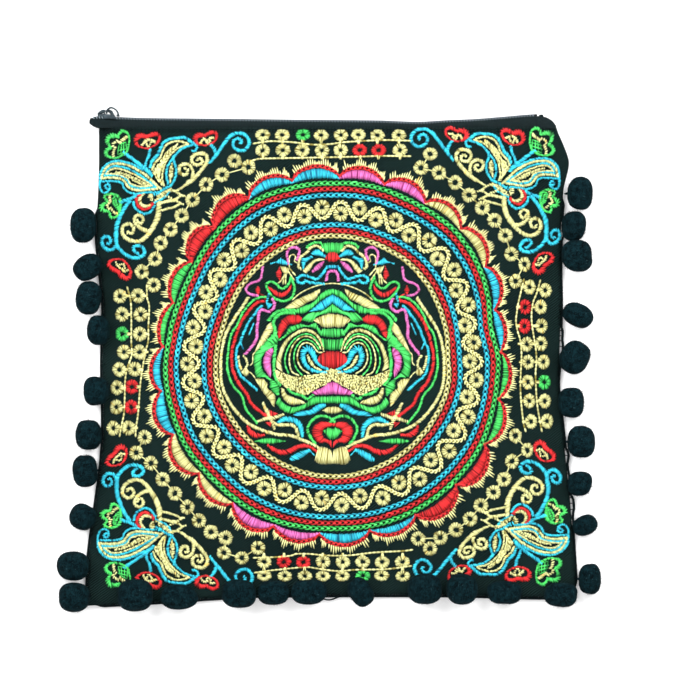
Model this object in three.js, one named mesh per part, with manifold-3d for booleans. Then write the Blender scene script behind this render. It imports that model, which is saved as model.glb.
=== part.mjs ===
// Embroidered zip clutch bag with a pompom trim, lying on its back panel.
// Millimetres. +X runs to the right of the embroidered face, +Y to the zip, +Z out of that face.
// The origin is the bottom centre of the whole bag's box, pompoms included.
import * as THREE from 'three';
import { mergeVertices } from 'three/addons/utils/BufferGeometryUtils.js';
import Module from 'manifold-3d';

const wasm = await Module();
wasm.setup();

// Driving dimensions
const gap = 0.3; // clearance between neighbouring pieces
const clothWall = 1.2; // doubled cotton twill
const panelTop = 124.5; // top edge of both panels
const rimTop = 2 * clothWall + gap; // outer face of the front panel at its seam
const bottomRise = 60; // distance over which the front swells up from the bottom seam

const tapeWall = 0.8;
const tapeDrop = 2.2; // tape's middle below the top of the teeth
const tapeLip = 0.5; // tape stands this far above the panel's top edge before it shows
const tapeHem = 0.8; // least depth of tape below its fold
const tapeStart = 0.4; // tape's edge behind the inner face of its teeth
const tapeFold = 1.5; // tape folds down this far behind the inner face of its teeth
const toothHeight = 1.5;
const toothWidth = 1.9; // one half of the chain, across the zip
const chainLeft = -128;
const chainRight = 113;

const sliderLeft = -124.6;
const sliderRight = -115.8;
const sliderPlate = 1;
const sliderInset = 0.5; // the inner plate is shorter than the outer one at each end
const flangeLeft = -121.4;
const flangeDrop = 1; // flanges reach this far down beside the teeth
const postRight = -122; // the post that parts the two halves of the chain
const postHalf = 0.7;
const bridge = { left: -123.2, right: -117.2, height: 3.1, half: 0.9, bar: 0.85 };
const pullPivot = { x: -120.2, y: 133.4 };
const pull = { half: 2.6, wall: 0.75, barRadius: 0.5, armInner: 1.3, armEnd: 0.36 };
const pullBow = [
  pullPivot, { x: -119.8, y: 135 }, { x: -118, y: 136.2 },
  { x: -115.9, y: 135.6 }, { x: -114.4, y: 134.1 }, { x: -113.7, y: 131.8 },
];

const cordRadius = 0.6;
const cordHeight = rimTop / 2; // the braid lies along the seam
const cordOut = gap + cordRadius; // braid's middle outside the panel's edge
const neckRadius = 0.5; // pompom's thread neck

// Outline of both panels at stations up the bag
const sideStations = [
  { y: 124.5, left: -124.4, right: 122.9 },
  { y: 113.5, left: -124.4, right: 127.7 },
  { y: 106, left: -124.4, right: 129.6 },
  { y: 92, left: -124.8, right: 126.7 },
  { y: 71, left: -125.6, right: 125.3 },
  { y: 50, left: -124, right: 124.8 },
  { y: 31, left: -122, right: 125.1 },
  { y: 0, left: -122.5, right: 124.4 },
  { y: -14, left: -122.4, right: 123.6 },
  { y: -38, left: -122, right: 126.2 },
  { y: -58, left: -123.3, right: 128.3 },
  { y: -77, left: -125.9, right: 130.3 },
  { y: -105, left: -129.7, right: 132.2 },
  { y: -133, left: -130.8, right: 133.9 },
];
const bottomStations = [
  { x: -131, y: -132.9 },
  { x: -92, y: -130.7 },
  { x: -60, y: -128.5 },
  { x: -37, y: -127.3 },
  { x: 61, y: -127 },
  { x: 115, y: -128.2 },
  { x: 134, y: -127.5 },
];

// How high the front swells, and how far in from the side seams it reaches that height
const crownStations = [
  { y: 124.5, crown: 8.4, sideRise: 10 },
  { y: 105, crown: 8.8, sideRise: 24 },
  { y: 80, crown: 9.2, sideRise: 36 },
  { y: 0, crown: 9.6, sideRise: 40 },
  { y: -90, crown: 8.8, sideRise: 38 },
  { y: -133, crown: 8.2, sideRise: 30 },
];

// Shallow dents and puckers of the front: centre, direction of the fold, half length, half width, depth
const folds = [
  { x: 108, y: 96, turn: 38, length: 26, width: 8, depth: 0.9 },
  { x: -106, y: 62, turn: -20, length: 24, width: 9, depth: 0.7 },
  { x: 48, y: 118, turn: 90, length: 16, width: 12, depth: 0.6 },
  { x: 104, y: -34, turn: 14, length: 28, width: 10, depth: 0.8 },
  { x: -104, y: -62, turn: -24, length: 30, width: 10, depth: 0.8 },
  { x: -18, y: -112, turn: 82, length: 14, width: 18, depth: 0.7 },
];

// Top line of the zip's teeth, and the zip's middle height above the surface
const zipStations = [
  { x: -130, ridge: 131.2, middle: 5.55 },
  { x: -115, ridge: 131, middle: 5.55 },
  { x: -97, ridge: 130.5, middle: 5.55 },
  { x: -57, ridge: 130.1, middle: 5.55 },
  { x: -16, ridge: 129.6, middle: 5.55 },
  { x: 27, ridge: 129.2, middle: 5.55 },
  { x: 48, ridge: 128.5, middle: 5.55 },
  { x: 63, ridge: 129.3, middle: 5.55 },
  { x: 79, ridge: 130, middle: 5.55 },
  { x: 94, ridge: 131.2, middle: 5.55 },
  { x: 110, ridge: 132.4, middle: 5.5 },
  { x: 115, ridge: 132.2, middle: 4.7 },
  { x: 119.4, ridge: 129.4, middle: 3 },
];

// Lower edge of the tapes: it clears the panels' corners at both ends, and lies inside the bag between them
const tapeStations = [
  { x: -129.4, low: 127.6, spread: 2.7 },
  { x: -127.4, low: 126.2, spread: 3 },
  { x: -125, low: 125.2, spread: 3.3 },
  { x: -108, low: 125, spread: 3.65 },
  { x: -104, low: 117.5, spread: 3.65 },
  { x: 109, low: 117.5, spread: 3.65 },
  { x: 112.4, low: 125, spread: 3.65 },
  { x: 119.4, low: 125, spread: 1.6 },
];

// Half chain's inner face from the middle of the zip: closed, and parted round the slider's post
const partStations = [
  { x: chainLeft, part: 1.05 },
  { x: -121.6, part: 1.05 },
  { x: -117.4, part: gap / 2 },
  { x: chainRight, part: gap / 2 },
];

// Pompoms as they lie: middle, width, height and turn of each one's outline
const pompoms = [
  { side: 'left', x: -132.9, y: 72.6, width: 14.6, height: 19.2, turn: 0 },
  { side: 'left', x: -130.3, y: 50.2, width: 16.5, height: 13.5, turn: 35 },
  { side: 'left', x: -129.8, y: 33.5, width: 13.8, height: 17, turn: 0 },
  { side: 'left', x: -124.6, y: 16.2, width: 12.5, height: 16.5, turn: 0 },
  { side: 'left', x: -125.8, y: -16.8, width: 14, height: 16, turn: 0 },
  { side: 'left', x: -129.9, y: -40.5, width: 14.3, height: 17.2, turn: 0 },
  { side: 'left', x: -131.7, y: -59.7, width: 14, height: 17.8, turn: 0 },
  { side: 'left', x: -133.2, y: -84.8, width: 14.3, height: 14.3, turn: 0 },
  { side: 'left', x: -138.2, y: -111.2, width: 17.6, height: 16.2, turn: 0 },
  { side: 'left', x: -137.6, y: -128.2, width: 17.8, height: 16.6, turn: 0 },
  { side: 'bottom', x: -104.7, y: -126.6, width: 20.3, height: 17.6, turn: 0 },
  { side: 'bottom', x: -81.1, y: -127.5, width: 18.6, height: 13.2, turn: 0 },
  { side: 'bottom', x: -48.7, y: -126, width: 19, height: 16, turn: 0 },
  { side: 'bottom', x: -29.9, y: -125.6, width: 17.3, height: 13.8, turn: 0 },
  { side: 'bottom', x: -10.8, y: -125.3, width: 19.4, height: 13.5, turn: 0 },
  { side: 'bottom', x: 16.8, y: -125.3, width: 16.5, height: 12.5, turn: -60 },
  { side: 'bottom', x: 51.3, y: -123.7, width: 19, height: 16.8, turn: 0 },
  { side: 'bottom', x: 71.9, y: -123.7, width: 16.8, height: 17.3, turn: 0 },
  { side: 'bottom', x: 94.7, y: -125.7, width: 19.4, height: 13, turn: 0 },
  { side: 'bottom', x: 125.2, y: -127, width: 18.5, height: 13.8, turn: 0 },
  { side: 'right', x: 135.5, y: 89.9, width: 14, height: 17.2, turn: 0 },
  { side: 'right', x: 132.9, y: 72.3, width: 12.6, height: 14.6, turn: 0 },
  { side: 'right', x: 134.6, y: 56.2, width: 14.6, height: 16, turn: 0 },
  { side: 'right', x: 134.2, y: 24.3, width: 17, height: 12.6, turn: -28 },
  { side: 'right', x: 132.7, y: 1.5, width: 18.5, height: 16, turn: 60 },
  { side: 'right', x: 130.9, y: -22.9, width: 14.4, height: 17.2, turn: 0 },
  { side: 'right', x: 136.1, y: -44.1, width: 15, height: 18.2, turn: 0 },
  { side: 'right', x: 135.4, y: -67, width: 13.4, height: 13.6, turn: 0 },
  { side: 'right', x: 138.1, y: -89.3, width: 14, height: 11.2, turn: 20 },
  { side: 'right', x: 140.9, y: -118.3, width: 12.4, height: 17, turn: 0 },
];
const pompomDepth = 0.92; // height of a lying pompom over its shorter width

const finishes = {
  twill: new THREE.MeshStandardMaterial({ color: 0x141e20, roughness: 0.85, metalness: 0 }),
  tape: new THREE.MeshStandardMaterial({ color: 0x15191b, roughness: 0.8, metalness: 0 }),
  coil: new THREE.MeshStandardMaterial({ color: 0x202427, roughness: 0.45, metalness: 0 }),
  metal: new THREE.MeshStandardMaterial({ color: 0x2b2e31, roughness: 0.4, metalness: 0.8 }),
  braid: new THREE.MeshStandardMaterial({ color: 0x10171a, roughness: 0.9, metalness: 0 }),
  felt: new THREE.MeshStandardMaterial({ color: 0x0c1419, roughness: 1, metalness: 0 }),
};

// A smooth curve through the named column of a table: cubic, with slopes taken from the neighbours
function curveThrough(rows, along, column) {
  const sorted = [...rows].sort((a, b) => a[along] - b[along]);
  const last = sorted.length - 1;
  return (place) => {
    const at = THREE.MathUtils.clamp(place, sorted[0][along], sorted[last][along]);
    let i = 0;
    while (i < last - 1 && at > sorted[i + 1][along]) i += 1;
    const row = (k) => sorted[THREE.MathUtils.clamp(k, 0, last)];
    const [before, from, to, after] = [row(i - 1), row(i), row(i + 1), row(i + 2)];
    const span = to[along] - from[along];
    const f = (at - from[along]) / span;
    const slopeFrom = ((to[column] - before[column]) / (to[along] - before[along])) * span;
    const slopeTo = ((after[column] - from[column]) / (after[along] - from[along])) * span;
    const rest = 1 - f;
    const ends = from[column] * rest * rest * (1 + 2 * f) + to[column] * f * f * (3 - 2 * f);
    return ends + slopeFrom * f * rest * rest - slopeTo * f * f * rest;
  };
}

// A straight-sided version, for edges with corners
function linesThrough(rows, along, column) {
  return (place) => {
    const last = rows.length - 1;
    const at = THREE.MathUtils.clamp(place, rows[0][along], rows[last][along]);
    let i = 0;
    while (i < last - 1 && at > rows[i + 1][along]) i += 1;
    const f = (at - rows[i][along]) / (rows[i + 1][along] - rows[i][along]);
    return THREE.MathUtils.lerp(rows[i][column], rows[i + 1][column], f);
  };
}

const leftEdge = curveThrough(sideStations, 'y', 'left');
const rightEdge = curveThrough(sideStations, 'y', 'right');
const bottomEdge = curveThrough(bottomStations, 'x', 'y');
const crown = curveThrough(crownStations, 'y', 'crown');
const sideRise = curveThrough(crownStations, 'y', 'sideRise');
const ridge = curveThrough(zipStations, 'x', 'ridge');
const zipMiddle = curveThrough(zipStations, 'x', 'middle');
const tapeLow = linesThrough(tapeStations, 'x', 'low');
const tapeSpread = linesThrough(tapeStations, 'x', 'spread');
const chainPart = linesThrough(partStations, 'x', 'part');

const { lerp } = THREE.MathUtils;
const steps = (count) => Array.from({ length: count + 1 }, (_, i) => i / count);
const between = (low, high, count) => steps(count).map((f) => lerp(low, high, f));

// Swell from a seam: 0 at the seam, 1 from the full distance on
function swell(distance, reach) {
  const f = THREE.MathUtils.clamp(distance / reach, 0, 1);
  return f * f * (3 - 2 * f);
}

function foldDepth(x, y) {
  return folds.reduce((sum, fold) => {
    const turn = THREE.MathUtils.degToRad(fold.turn);
    const alongFold = (x - fold.x) * Math.cos(turn) + (y - fold.y) * Math.sin(turn);
    const acrossFold = (y - fold.y) * Math.cos(turn) - (x - fold.x) * Math.sin(turn);
    return sum + fold.depth * Math.exp(-((alongFold / fold.length) ** 2) - (acrossFold / fold.width) ** 2);
  }, 0);
}

// Outer face of the front panel above the surface that the bag lies on
function frontHeight(x, y) {
  const reach = sideRise(y);
  const sides = swell(x - leftEdge(y), reach) * swell(rightEdge(y) - x, reach);
  const full = sides * swell(y - bottomEdge(x), bottomRise);
  return rimTop + full * (crown(y) - foldDepth(x, y));
}

// Place on the panels: across runs from the left seam to the right one, up from the bottom to the top
function panelPlace(across, up) {
  const roughX = lerp(bottomStations[0].x, bottomStations.at(-1).x, across);
  const y = lerp(bottomEdge(roughX), panelTop, up);
  return { x: lerp(leftEdge(y), rightEdge(y), across), y };
}

// Turns a closed geometry's faces outwards
function facingOut(geometry) {
  const place = geometry.getAttribute('position');
  const index = geometry.getIndex();
  const [a, b, c] = [new THREE.Vector3(), new THREE.Vector3(), new THREE.Vector3()];
  let volume = 0;
  for (let i = 0; i < index.count; i += 3) {
    a.fromBufferAttribute(place, index.getX(i));
    b.fromBufferAttribute(place, index.getX(i + 1));
    c.fromBufferAttribute(place, index.getX(i + 2));
    volume += a.dot(b.cross(c));
  }
  if (volume < 0) geometry.setIndex(Array.from(index.array).reverse());
  geometry.computeVertexNormals();
  return geometry;
}

// Closed wall between two grids of points of the same size, with a rim all round
function wallBetween(outer, inner) {
  const rows = outer.length;
  const columns = outer[0].length;
  const points = [...outer.flat(), ...inner.flat()];
  const at = (side, i, j) => side * rows * columns + i * columns + j;
  const index = [];
  const quad = (a, b, c, d) => index.push(a, b, c, a, c, d);
  for (let i = 0; i < rows - 1; i += 1) {
    for (let j = 0; j < columns - 1; j += 1) {
      quad(at(0, i, j), at(0, i + 1, j), at(0, i + 1, j + 1), at(0, i, j + 1));
      quad(at(1, i, j), at(1, i, j + 1), at(1, i + 1, j + 1), at(1, i + 1, j));
    }
  }
  for (let i = 0; i < rows - 1; i += 1) {
    quad(at(0, i, 0), at(1, i, 0), at(1, i + 1, 0), at(0, i + 1, 0));
    quad(at(0, i, columns - 1), at(0, i + 1, columns - 1), at(1, i + 1, columns - 1), at(1, i, columns - 1));
  }
  for (let j = 0; j < columns - 1; j += 1) {
    quad(at(0, 0, j), at(0, 0, j + 1), at(1, 0, j + 1), at(1, 0, j));
    quad(at(0, rows - 1, j), at(1, rows - 1, j), at(1, rows - 1, j + 1), at(0, rows - 1, j + 1));
  }
  const geometry = new THREE.BufferGeometry().setFromPoints(points);
  geometry.setIndex(index);
  return facingOut(geometry);
}

// Unit normals of a grid of points, from the differences of each point's neighbours
function gridNormals(grid) {
  const row = (i) => grid[Math.min(Math.max(i, 0), grid.length - 1)];
  return grid.map((points, i) => points.map((_, j) => {
    const last = points.length - 1;
    const alongRows = row(i + 1)[j].clone().sub(row(i - 1)[j]);
    const alongColumns = points[Math.min(j + 1, last)].clone().sub(points[Math.max(j - 1, 0)]);
    return alongRows.cross(alongColumns).normalize();
  }));
}

const moved = (grid, normals, distance) =>
  grid.map((points, i) => points.map((point, j) => point.clone().addScaledVector(normals[i][j], distance)));

// Joins and cuts of closed solids
function solidOf(geometry) {
  const bare = geometry.clone();
  bare.deleteAttribute('normal');
  bare.deleteAttribute('uv');
  const merged = mergeVertices(bare);
  const vertProperties = new Float32Array(merged.getAttribute('position').array);
  const triVerts = new Uint32Array(merged.getIndex().array);
  return new wasm.Manifold(new wasm.Mesh({ numProp: 3, vertProperties, triVerts }));
}

function geometryOf(solid) {
  const mesh = solid.getMesh();
  const geometry = new THREE.BufferGeometry();
  geometry.setAttribute('position', new THREE.BufferAttribute(mesh.vertProperties, 3));
  geometry.setIndex(new THREE.BufferAttribute(mesh.triVerts, 1));
  geometry.computeVertexNormals();
  return geometry;
}

const joined = (geometries) => geometryOf(geometries.map(solidOf).reduce((all, next) => all.add(next)));

// A flat outline given in X and Y, carried from one height to another
function plate(outline, low, high) {
  const shape = new THREE.Shape(outline.map(([x, y]) => new THREE.Vector2(x, y)));
  const geometry = new THREE.ExtrudeGeometry(shape, { depth: high - low, bevelEnabled: false });
  return geometry.translate(0, 0, low);
}

function block(xs, ys, zs) {
  const geometry = new THREE.BoxGeometry(xs[1] - xs[0], ys[1] - ys[0], zs[1] - zs[0]);
  return geometry.translate((xs[0] + xs[1]) / 2, (ys[0] + ys[1]) / 2, (zs[0] + zs[1]) / 2);
}

const bag = new THREE.Group();
bag.name = 'clutch_bag';

function addPiece(name, geometry, material) {
  const piece = new THREE.Mesh(geometry, material);
  piece.name = name;
  bag.add(piece);
}

// Front panel: a swollen wall, open below and at the zip
function frontPanel() {
  const [across, up] = [30, 26];
  const outer = steps(across).map((u) => steps(up).map((v) => {
    const place = panelPlace(u, v);
    return new THREE.Vector3(place.x, place.y, frontHeight(place.x, place.y));
  }));
  const inner = moved(outer, gridNormals(outer), -clothWall);
  const isRim = (i, j) => i === 0 || i === across || j === 0 || j === up;
  const squareRim = inner.map((points, i) => points.map((point, j) => (
    isRim(i, j) ? outer[i][j].clone().setZ(outer[i][j].z - clothWall) : point)));
  return wallBetween(outer, squareRim);
}

// Back panel: flat where it rests
function backPanel() {
  const rim = steps(16);
  const corners = [
    ...rim.map((u) => panelPlace(u, 0)),
    ...rim.slice(1).map((v) => panelPlace(1, v)),
    ...rim.slice(1).map((f) => panelPlace(1 - f, 1)),
    ...rim.slice(1, -1).map((f) => panelPlace(0, 1 - f)),
  ];
  return plate(corners.map(({ x, y }) => [x, y]), 0, clothWall);
}

// Height of a tape's middle at the panels' edge and inside the bag, against the front or the back panel
function tapeHeight(x, y, facing) {
  const clear = clothWall + gap + tapeWall / 2;
  if (facing < 0) return clear;
  const [inside, slack, reach] = [Math.min(y, panelTop), 0.4, 0.5];
  const slopeX = (frontHeight(x + reach, inside) - frontHeight(x - reach, inside)) / (2 * reach);
  const slopeY = (frontHeight(x, inside) - frontHeight(x, inside - reach)) / reach;
  return frontHeight(x, inside) - clear * Math.hypot(1, slopeX, slopeY) - slack;
}

// One tape of the zip: it starts under its teeth, bends over and goes down behind the panel's edge
function zipTape(facing) {
  const places = [-129.4, -128.2, -127.4, -126, -125, -123, -121.6, -119.5, -117.4, -113, -108,
    ...between(-104, 104, 20), 109, 112.4, 115, 117, 119.4];
  const middle = places.map((x) => {
    const height = zipMiddle(x);
    const top = ridge(x) - tapeDrop;
    const low = tapeLow(x);
    const edge = Math.max(panelTop + tapeLip, low + tapeHem);
    const isFree = x < -106 || x > 112;
    const free = Math.max(facing * tapeSpread(x), tapeHeight(x, edge, -1) - height);
    const edgeOut = isFree ? free : tapeHeight(x, edge, facing) - height;
    const lowOut = isFree ? free : tapeHeight(x, low, facing) - height;
    const foldOut = x > chainRight ? 0.45 * tapeFold : tapeFold; // the tapes close up past the teeth
    const bend = facing * (chainPart(x) + foldOut);
    return [
      new THREE.Vector3(x, top, height + facing * (chainPart(x) + tapeStart)),
      new THREE.Vector3(x, top, height + bend),
      new THREE.Vector3(x, lerp(top, edge, 0.3), height + lerp(bend, edgeOut, 0.6)),
      new THREE.Vector3(x, edge, height + edgeOut),
      new THREE.Vector3(x, low, height + lowOut),
    ];
  });
  const normals = gridNormals(middle);
  return wallBetween(moved(middle, normals, tapeWall / 2), moved(middle, normals, -tapeWall / 2));
}

// Half of the chain of teeth, as the bar that its coil fills
function zipTeeth(facing) {
  const places = [chainLeft, -124.6, -121.6, -117.4, ...between(-110, 105, 20), chainRight];
  const face = (drop) => places.map((x) => [0, toothWidth].map((width) => (
    new THREE.Vector3(x, ridge(x) - drop, zipMiddle(x) + facing * (chainPart(x) + width)))));
  return wallBetween(face(0), face(toothHeight));
}

// Folded end of the tapes, sewn between them
function zipEnd(left, right, low, high, half) {
  const height = zipMiddle((left + right) / 2);
  const round = 0.6;
  const outline = [
    [left + round, low], [right - round, low], [right, low + round], [right, high - round],
    [right - round, high], [left + round, high], [left, high - round], [left, low + round],
  ];
  return plate(outline, height - half, height + half);
}

// Slider: an outer plate with side flanges, an inner plate, the post between them and the pull's bridge
function zipSlider() {
  const middle = zipMiddle(sliderLeft);
  const chainTop = ridge(postRight);
  const plateLow = chainTop + gap;
  const plateTop = plateLow + sliderPlate;
  const innerTop = chainTop - tapeDrop - tapeWall / 2 - gap - 0.1;
  const [wide, narrow, round] = [3.7, 3.1, 1.2];
  const lying = (outline, low, high) => plate(outline, -high, -low).rotateX(Math.PI / 2);
  const crossOutline = [
    [sliderLeft, -wide + round], [sliderLeft + round, -wide], [postRight, -wide], [sliderRight, -narrow],
    [sliderRight, narrow], [postRight, wide], [sliderLeft + round, wide], [sliderLeft, wide - round],
  ];
  const outer = lying(crossOutline, plateLow, plateTop);
  const flange = (side) => {
    const outline = [
      [sliderRight, side * narrow], [flangeLeft, side * (wide - 0.05)],
      [flangeLeft, side * (wide - 0.45)], [sliderRight, side * (narrow - 0.65)],
    ];
    const facing = side > 0 ? outline : outline.reverse();
    return lying(facing, chainTop - flangeDrop, plateLow + sliderPlate / 2);
  };
  const innerHalf = 1.5;
  const innerSpan = [sliderLeft + sliderInset, sliderRight - sliderInset];
  const inner = block(innerSpan, [innerTop - sliderPlate, innerTop], [-innerHalf, innerHalf]);
  const postSpan = [innerTop - sliderPlate / 2, plateTop - sliderPlate / 2];
  const post = block([sliderLeft + sliderInset, postRight], postSpan, [-postHalf, postHalf]);
  const crest = plateTop + bridge.height;
  const foot = plateTop - sliderPlate / 2;
  const arch = (inset) => {
    const [left, right, top] = [bridge.left + inset, bridge.right - inset, crest - inset];
    const shoulder = plateTop + 1.5;
    return [
      [left, foot], [right, foot], [right, shoulder - inset / 2], [right - 0.9, top - 0.35],
      [right - 1.9, top], [left + 1.9, top], [left + 0.9, top - 0.35], [left, shoulder - inset / 2],
    ];
  };
  const solid = solidOf(plate(arch(0), -bridge.half, bridge.half))
    .subtract(solidOf(plate(arch(bridge.bar), -bridge.half - 1, bridge.half + 1)))
    .add(solidOf(outer));
  const rest = solidOf(joined([flange(1), flange(-1), inner, post]));
  return geometryOf(solid.add(rest).translate([0, 0, middle]));
}

// Pull: a bowed plate on two arms, whose round bar turns in the slider's bridge
function zipPull() {
  const middle = zipMiddle(sliderLeft);
  const bow = new THREE.CatmullRomCurve3(pullBow.map(({ x, y }) => new THREE.Vector3(x, y, 0)));
  const band = (from, to, count) => {
    const places = between(from, to, count);
    const side = (distance) => places.map((f) => {
      const tangent = bow.getTangentAt(f);
      const point = bow.getPointAt(f);
      return [point.x - tangent.y * distance, point.y + tangent.x * distance];
    });
    return [...side(-pull.wall / 2), ...side(pull.wall / 2).reverse()];
  };
  const bar = new THREE.CylinderGeometry(pull.barRadius, pull.barRadius, 2 * pull.half, 12);
  bar.rotateX(Math.PI / 2).translate(pullPivot.x, pullPivot.y, 0);
  const arm = band(0, pull.armEnd + 0.02, 6);
  const whole = joined([
    bar,
    plate(arm, pull.armInner, pull.half),
    plate(arm, -pull.half, -pull.armInner),
    plate(band(pull.armEnd, 1, 10), -pull.half, pull.half),
  ]);
  return whole.translate(0, 0, middle);
}

// Braid cord just outside a seam
function braidCord(points) {
  const corners = 8;
  const round = between(0, 2 * Math.PI, corners).slice(0, corners);
  const ring = round.map((a) => new THREE.Vector2(cordRadius * Math.cos(a), cordRadius * Math.sin(a)));
  const extrudePath = new THREE.CatmullRomCurve3(points.map(([x, y]) => new THREE.Vector3(x, y, cordHeight)));
  const settings = { steps: 2 * points.length, extrudePath, bevelEnabled: false };
  return new THREE.ExtrudeGeometry(new THREE.Shape(ring), settings);
}

// Where the braid passes nearest to a pompom
function braidPlace({ side, x, y }) {
  if (side === 'left') return { x: leftEdge(y) - cordOut, y };
  if (side === 'right') return { x: rightEdge(y) + cordOut, y };
  return { x, y: bottomEdge(x) - cordOut };
}

// Top of whatever lies under a place: the front panel, the braid or the surface
function groundHeight(x, y) {
  const inside = Math.min(x - leftEdge(y), rightEdge(y) - x, y - bottomEdge(x));
  if (inside > -gap) return frontHeight(x, y);
  if (inside > -cordOut - cordRadius - gap) return cordHeight + cordRadius;
  return 0;
}

// Pompom: a flattened ball resting on what lies under it, with a thread neck down to the braid
function pompom(row) {
  const half = [row.width / 2, row.height / 2, (pompomDepth * Math.min(row.width, row.height)) / 2];
  const turn = THREE.MathUtils.degToRad(row.turn);
  let rest = half[2] + gap;
  for (const radius of between(0, 0.96, 8)) {
    for (const angle of between(0, 2 * Math.PI, 24)) {
      const [a, b] = [half[0] * radius * Math.cos(angle), half[1] * radius * Math.sin(angle)];
      const x = row.x + a * Math.cos(turn) - b * Math.sin(turn);
      const y = row.y + a * Math.sin(turn) + b * Math.cos(turn);
      const below = half[2] * Math.sqrt(1 - radius * radius);
      rest = Math.max(rest, groundHeight(x, y) + gap + below);
    }
  }
  const ball = new THREE.SphereGeometry(1, 12, 6);
  ball.rotateX(Math.PI / 2).scale(...half).rotateZ(turn).translate(row.x, row.y, rest);
  const seam = braidPlace(row);
  const foot = new THREE.Vector3(seam.x, seam.y, cordHeight + cordRadius + gap);
  const neck = new THREE.Vector3(row.x, row.y, rest).sub(foot);
  const length = neck.length();
  const thread = new THREE.CylinderGeometry(neckRadius, neckRadius, length, 6);
  const upright = new THREE.Vector3(0, 1, 0);
  neck.normalize();
  thread.translate(0, length / 2, 0);
  thread.applyQuaternion(new THREE.Quaternion().setFromUnitVectors(upright, neck));
  thread.translate(foot.x, foot.y, foot.z + neckRadius * Math.hypot(neck.x, neck.y));
  return joined([ball, thread]);
}

addPiece('front_panel', frontPanel(), finishes.twill);
addPiece('back_panel', backPanel(), finishes.twill);
addPiece('zip_tape_front', zipTape(1), finishes.tape);
addPiece('zip_tape_back', zipTape(-1), finishes.tape);
addPiece('zip_teeth_front', zipTeeth(1), finishes.coil);
addPiece('zip_teeth_back', zipTeeth(-1), finishes.coil);
addPiece('zip_end_left', zipEnd(-129.3, -126.6, 127.3, 130.7, 0.7), finishes.tape);
addPiece('zip_end_right', zipEnd(113.3, 115.7, 130.9, 132.6, 1.6), finishes.tape);
addPiece('zip_slider', zipSlider(), finishes.metal);
addPiece('zip_pull', zipPull(), finishes.metal);

const braidLeft = between(84, -130, 14).map((y) => [leftEdge(y) - cordOut, y]);
const braidBottom = between(-128, 131, 14).map((x) => [x, bottomEdge(x) - cordOut]);
const braidRight = between(90, -125, 14).map((y) => [rightEdge(y) + cordOut, y]);
addPiece('trim_left', braidCord(braidLeft), finishes.braid);
addPiece('trim_bottom', braidCord(braidBottom), finishes.braid);
addPiece('trim_right', braidCord(braidRight), finishes.braid);

const made = { left: 0, bottom: 0, right: 0 };
for (const row of pompoms) {
  made[row.side] += 1;
  const number = String(made[row.side]).padStart(2, '0');
  addPiece(`pompom_${row.side}_${number}`, pompom(row), finishes.felt);
}

export default bag;
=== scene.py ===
# Embroidered zip clutch bag with a pompom trim, lying on its back panel and seen from straight above.
import bpy
import numpy as np
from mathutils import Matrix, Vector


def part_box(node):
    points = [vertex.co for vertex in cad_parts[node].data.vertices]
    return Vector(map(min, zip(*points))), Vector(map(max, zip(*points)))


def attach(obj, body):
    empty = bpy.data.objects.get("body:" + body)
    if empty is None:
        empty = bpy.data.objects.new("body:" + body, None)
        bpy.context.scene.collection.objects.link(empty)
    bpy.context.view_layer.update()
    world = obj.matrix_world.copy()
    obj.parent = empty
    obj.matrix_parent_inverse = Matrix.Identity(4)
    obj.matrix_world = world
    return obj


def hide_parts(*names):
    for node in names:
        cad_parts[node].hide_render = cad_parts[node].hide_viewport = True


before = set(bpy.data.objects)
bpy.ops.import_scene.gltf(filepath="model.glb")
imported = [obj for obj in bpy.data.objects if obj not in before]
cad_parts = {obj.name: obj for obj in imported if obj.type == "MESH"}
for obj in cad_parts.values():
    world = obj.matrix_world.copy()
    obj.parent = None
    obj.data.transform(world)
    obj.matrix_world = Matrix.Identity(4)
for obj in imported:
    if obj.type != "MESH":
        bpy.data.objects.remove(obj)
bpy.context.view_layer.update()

mm = 0.001  # shapes are worked out in millimetres
upward = np.array((0, 0, 1))
chance = np.random.default_rng(24)


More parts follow.
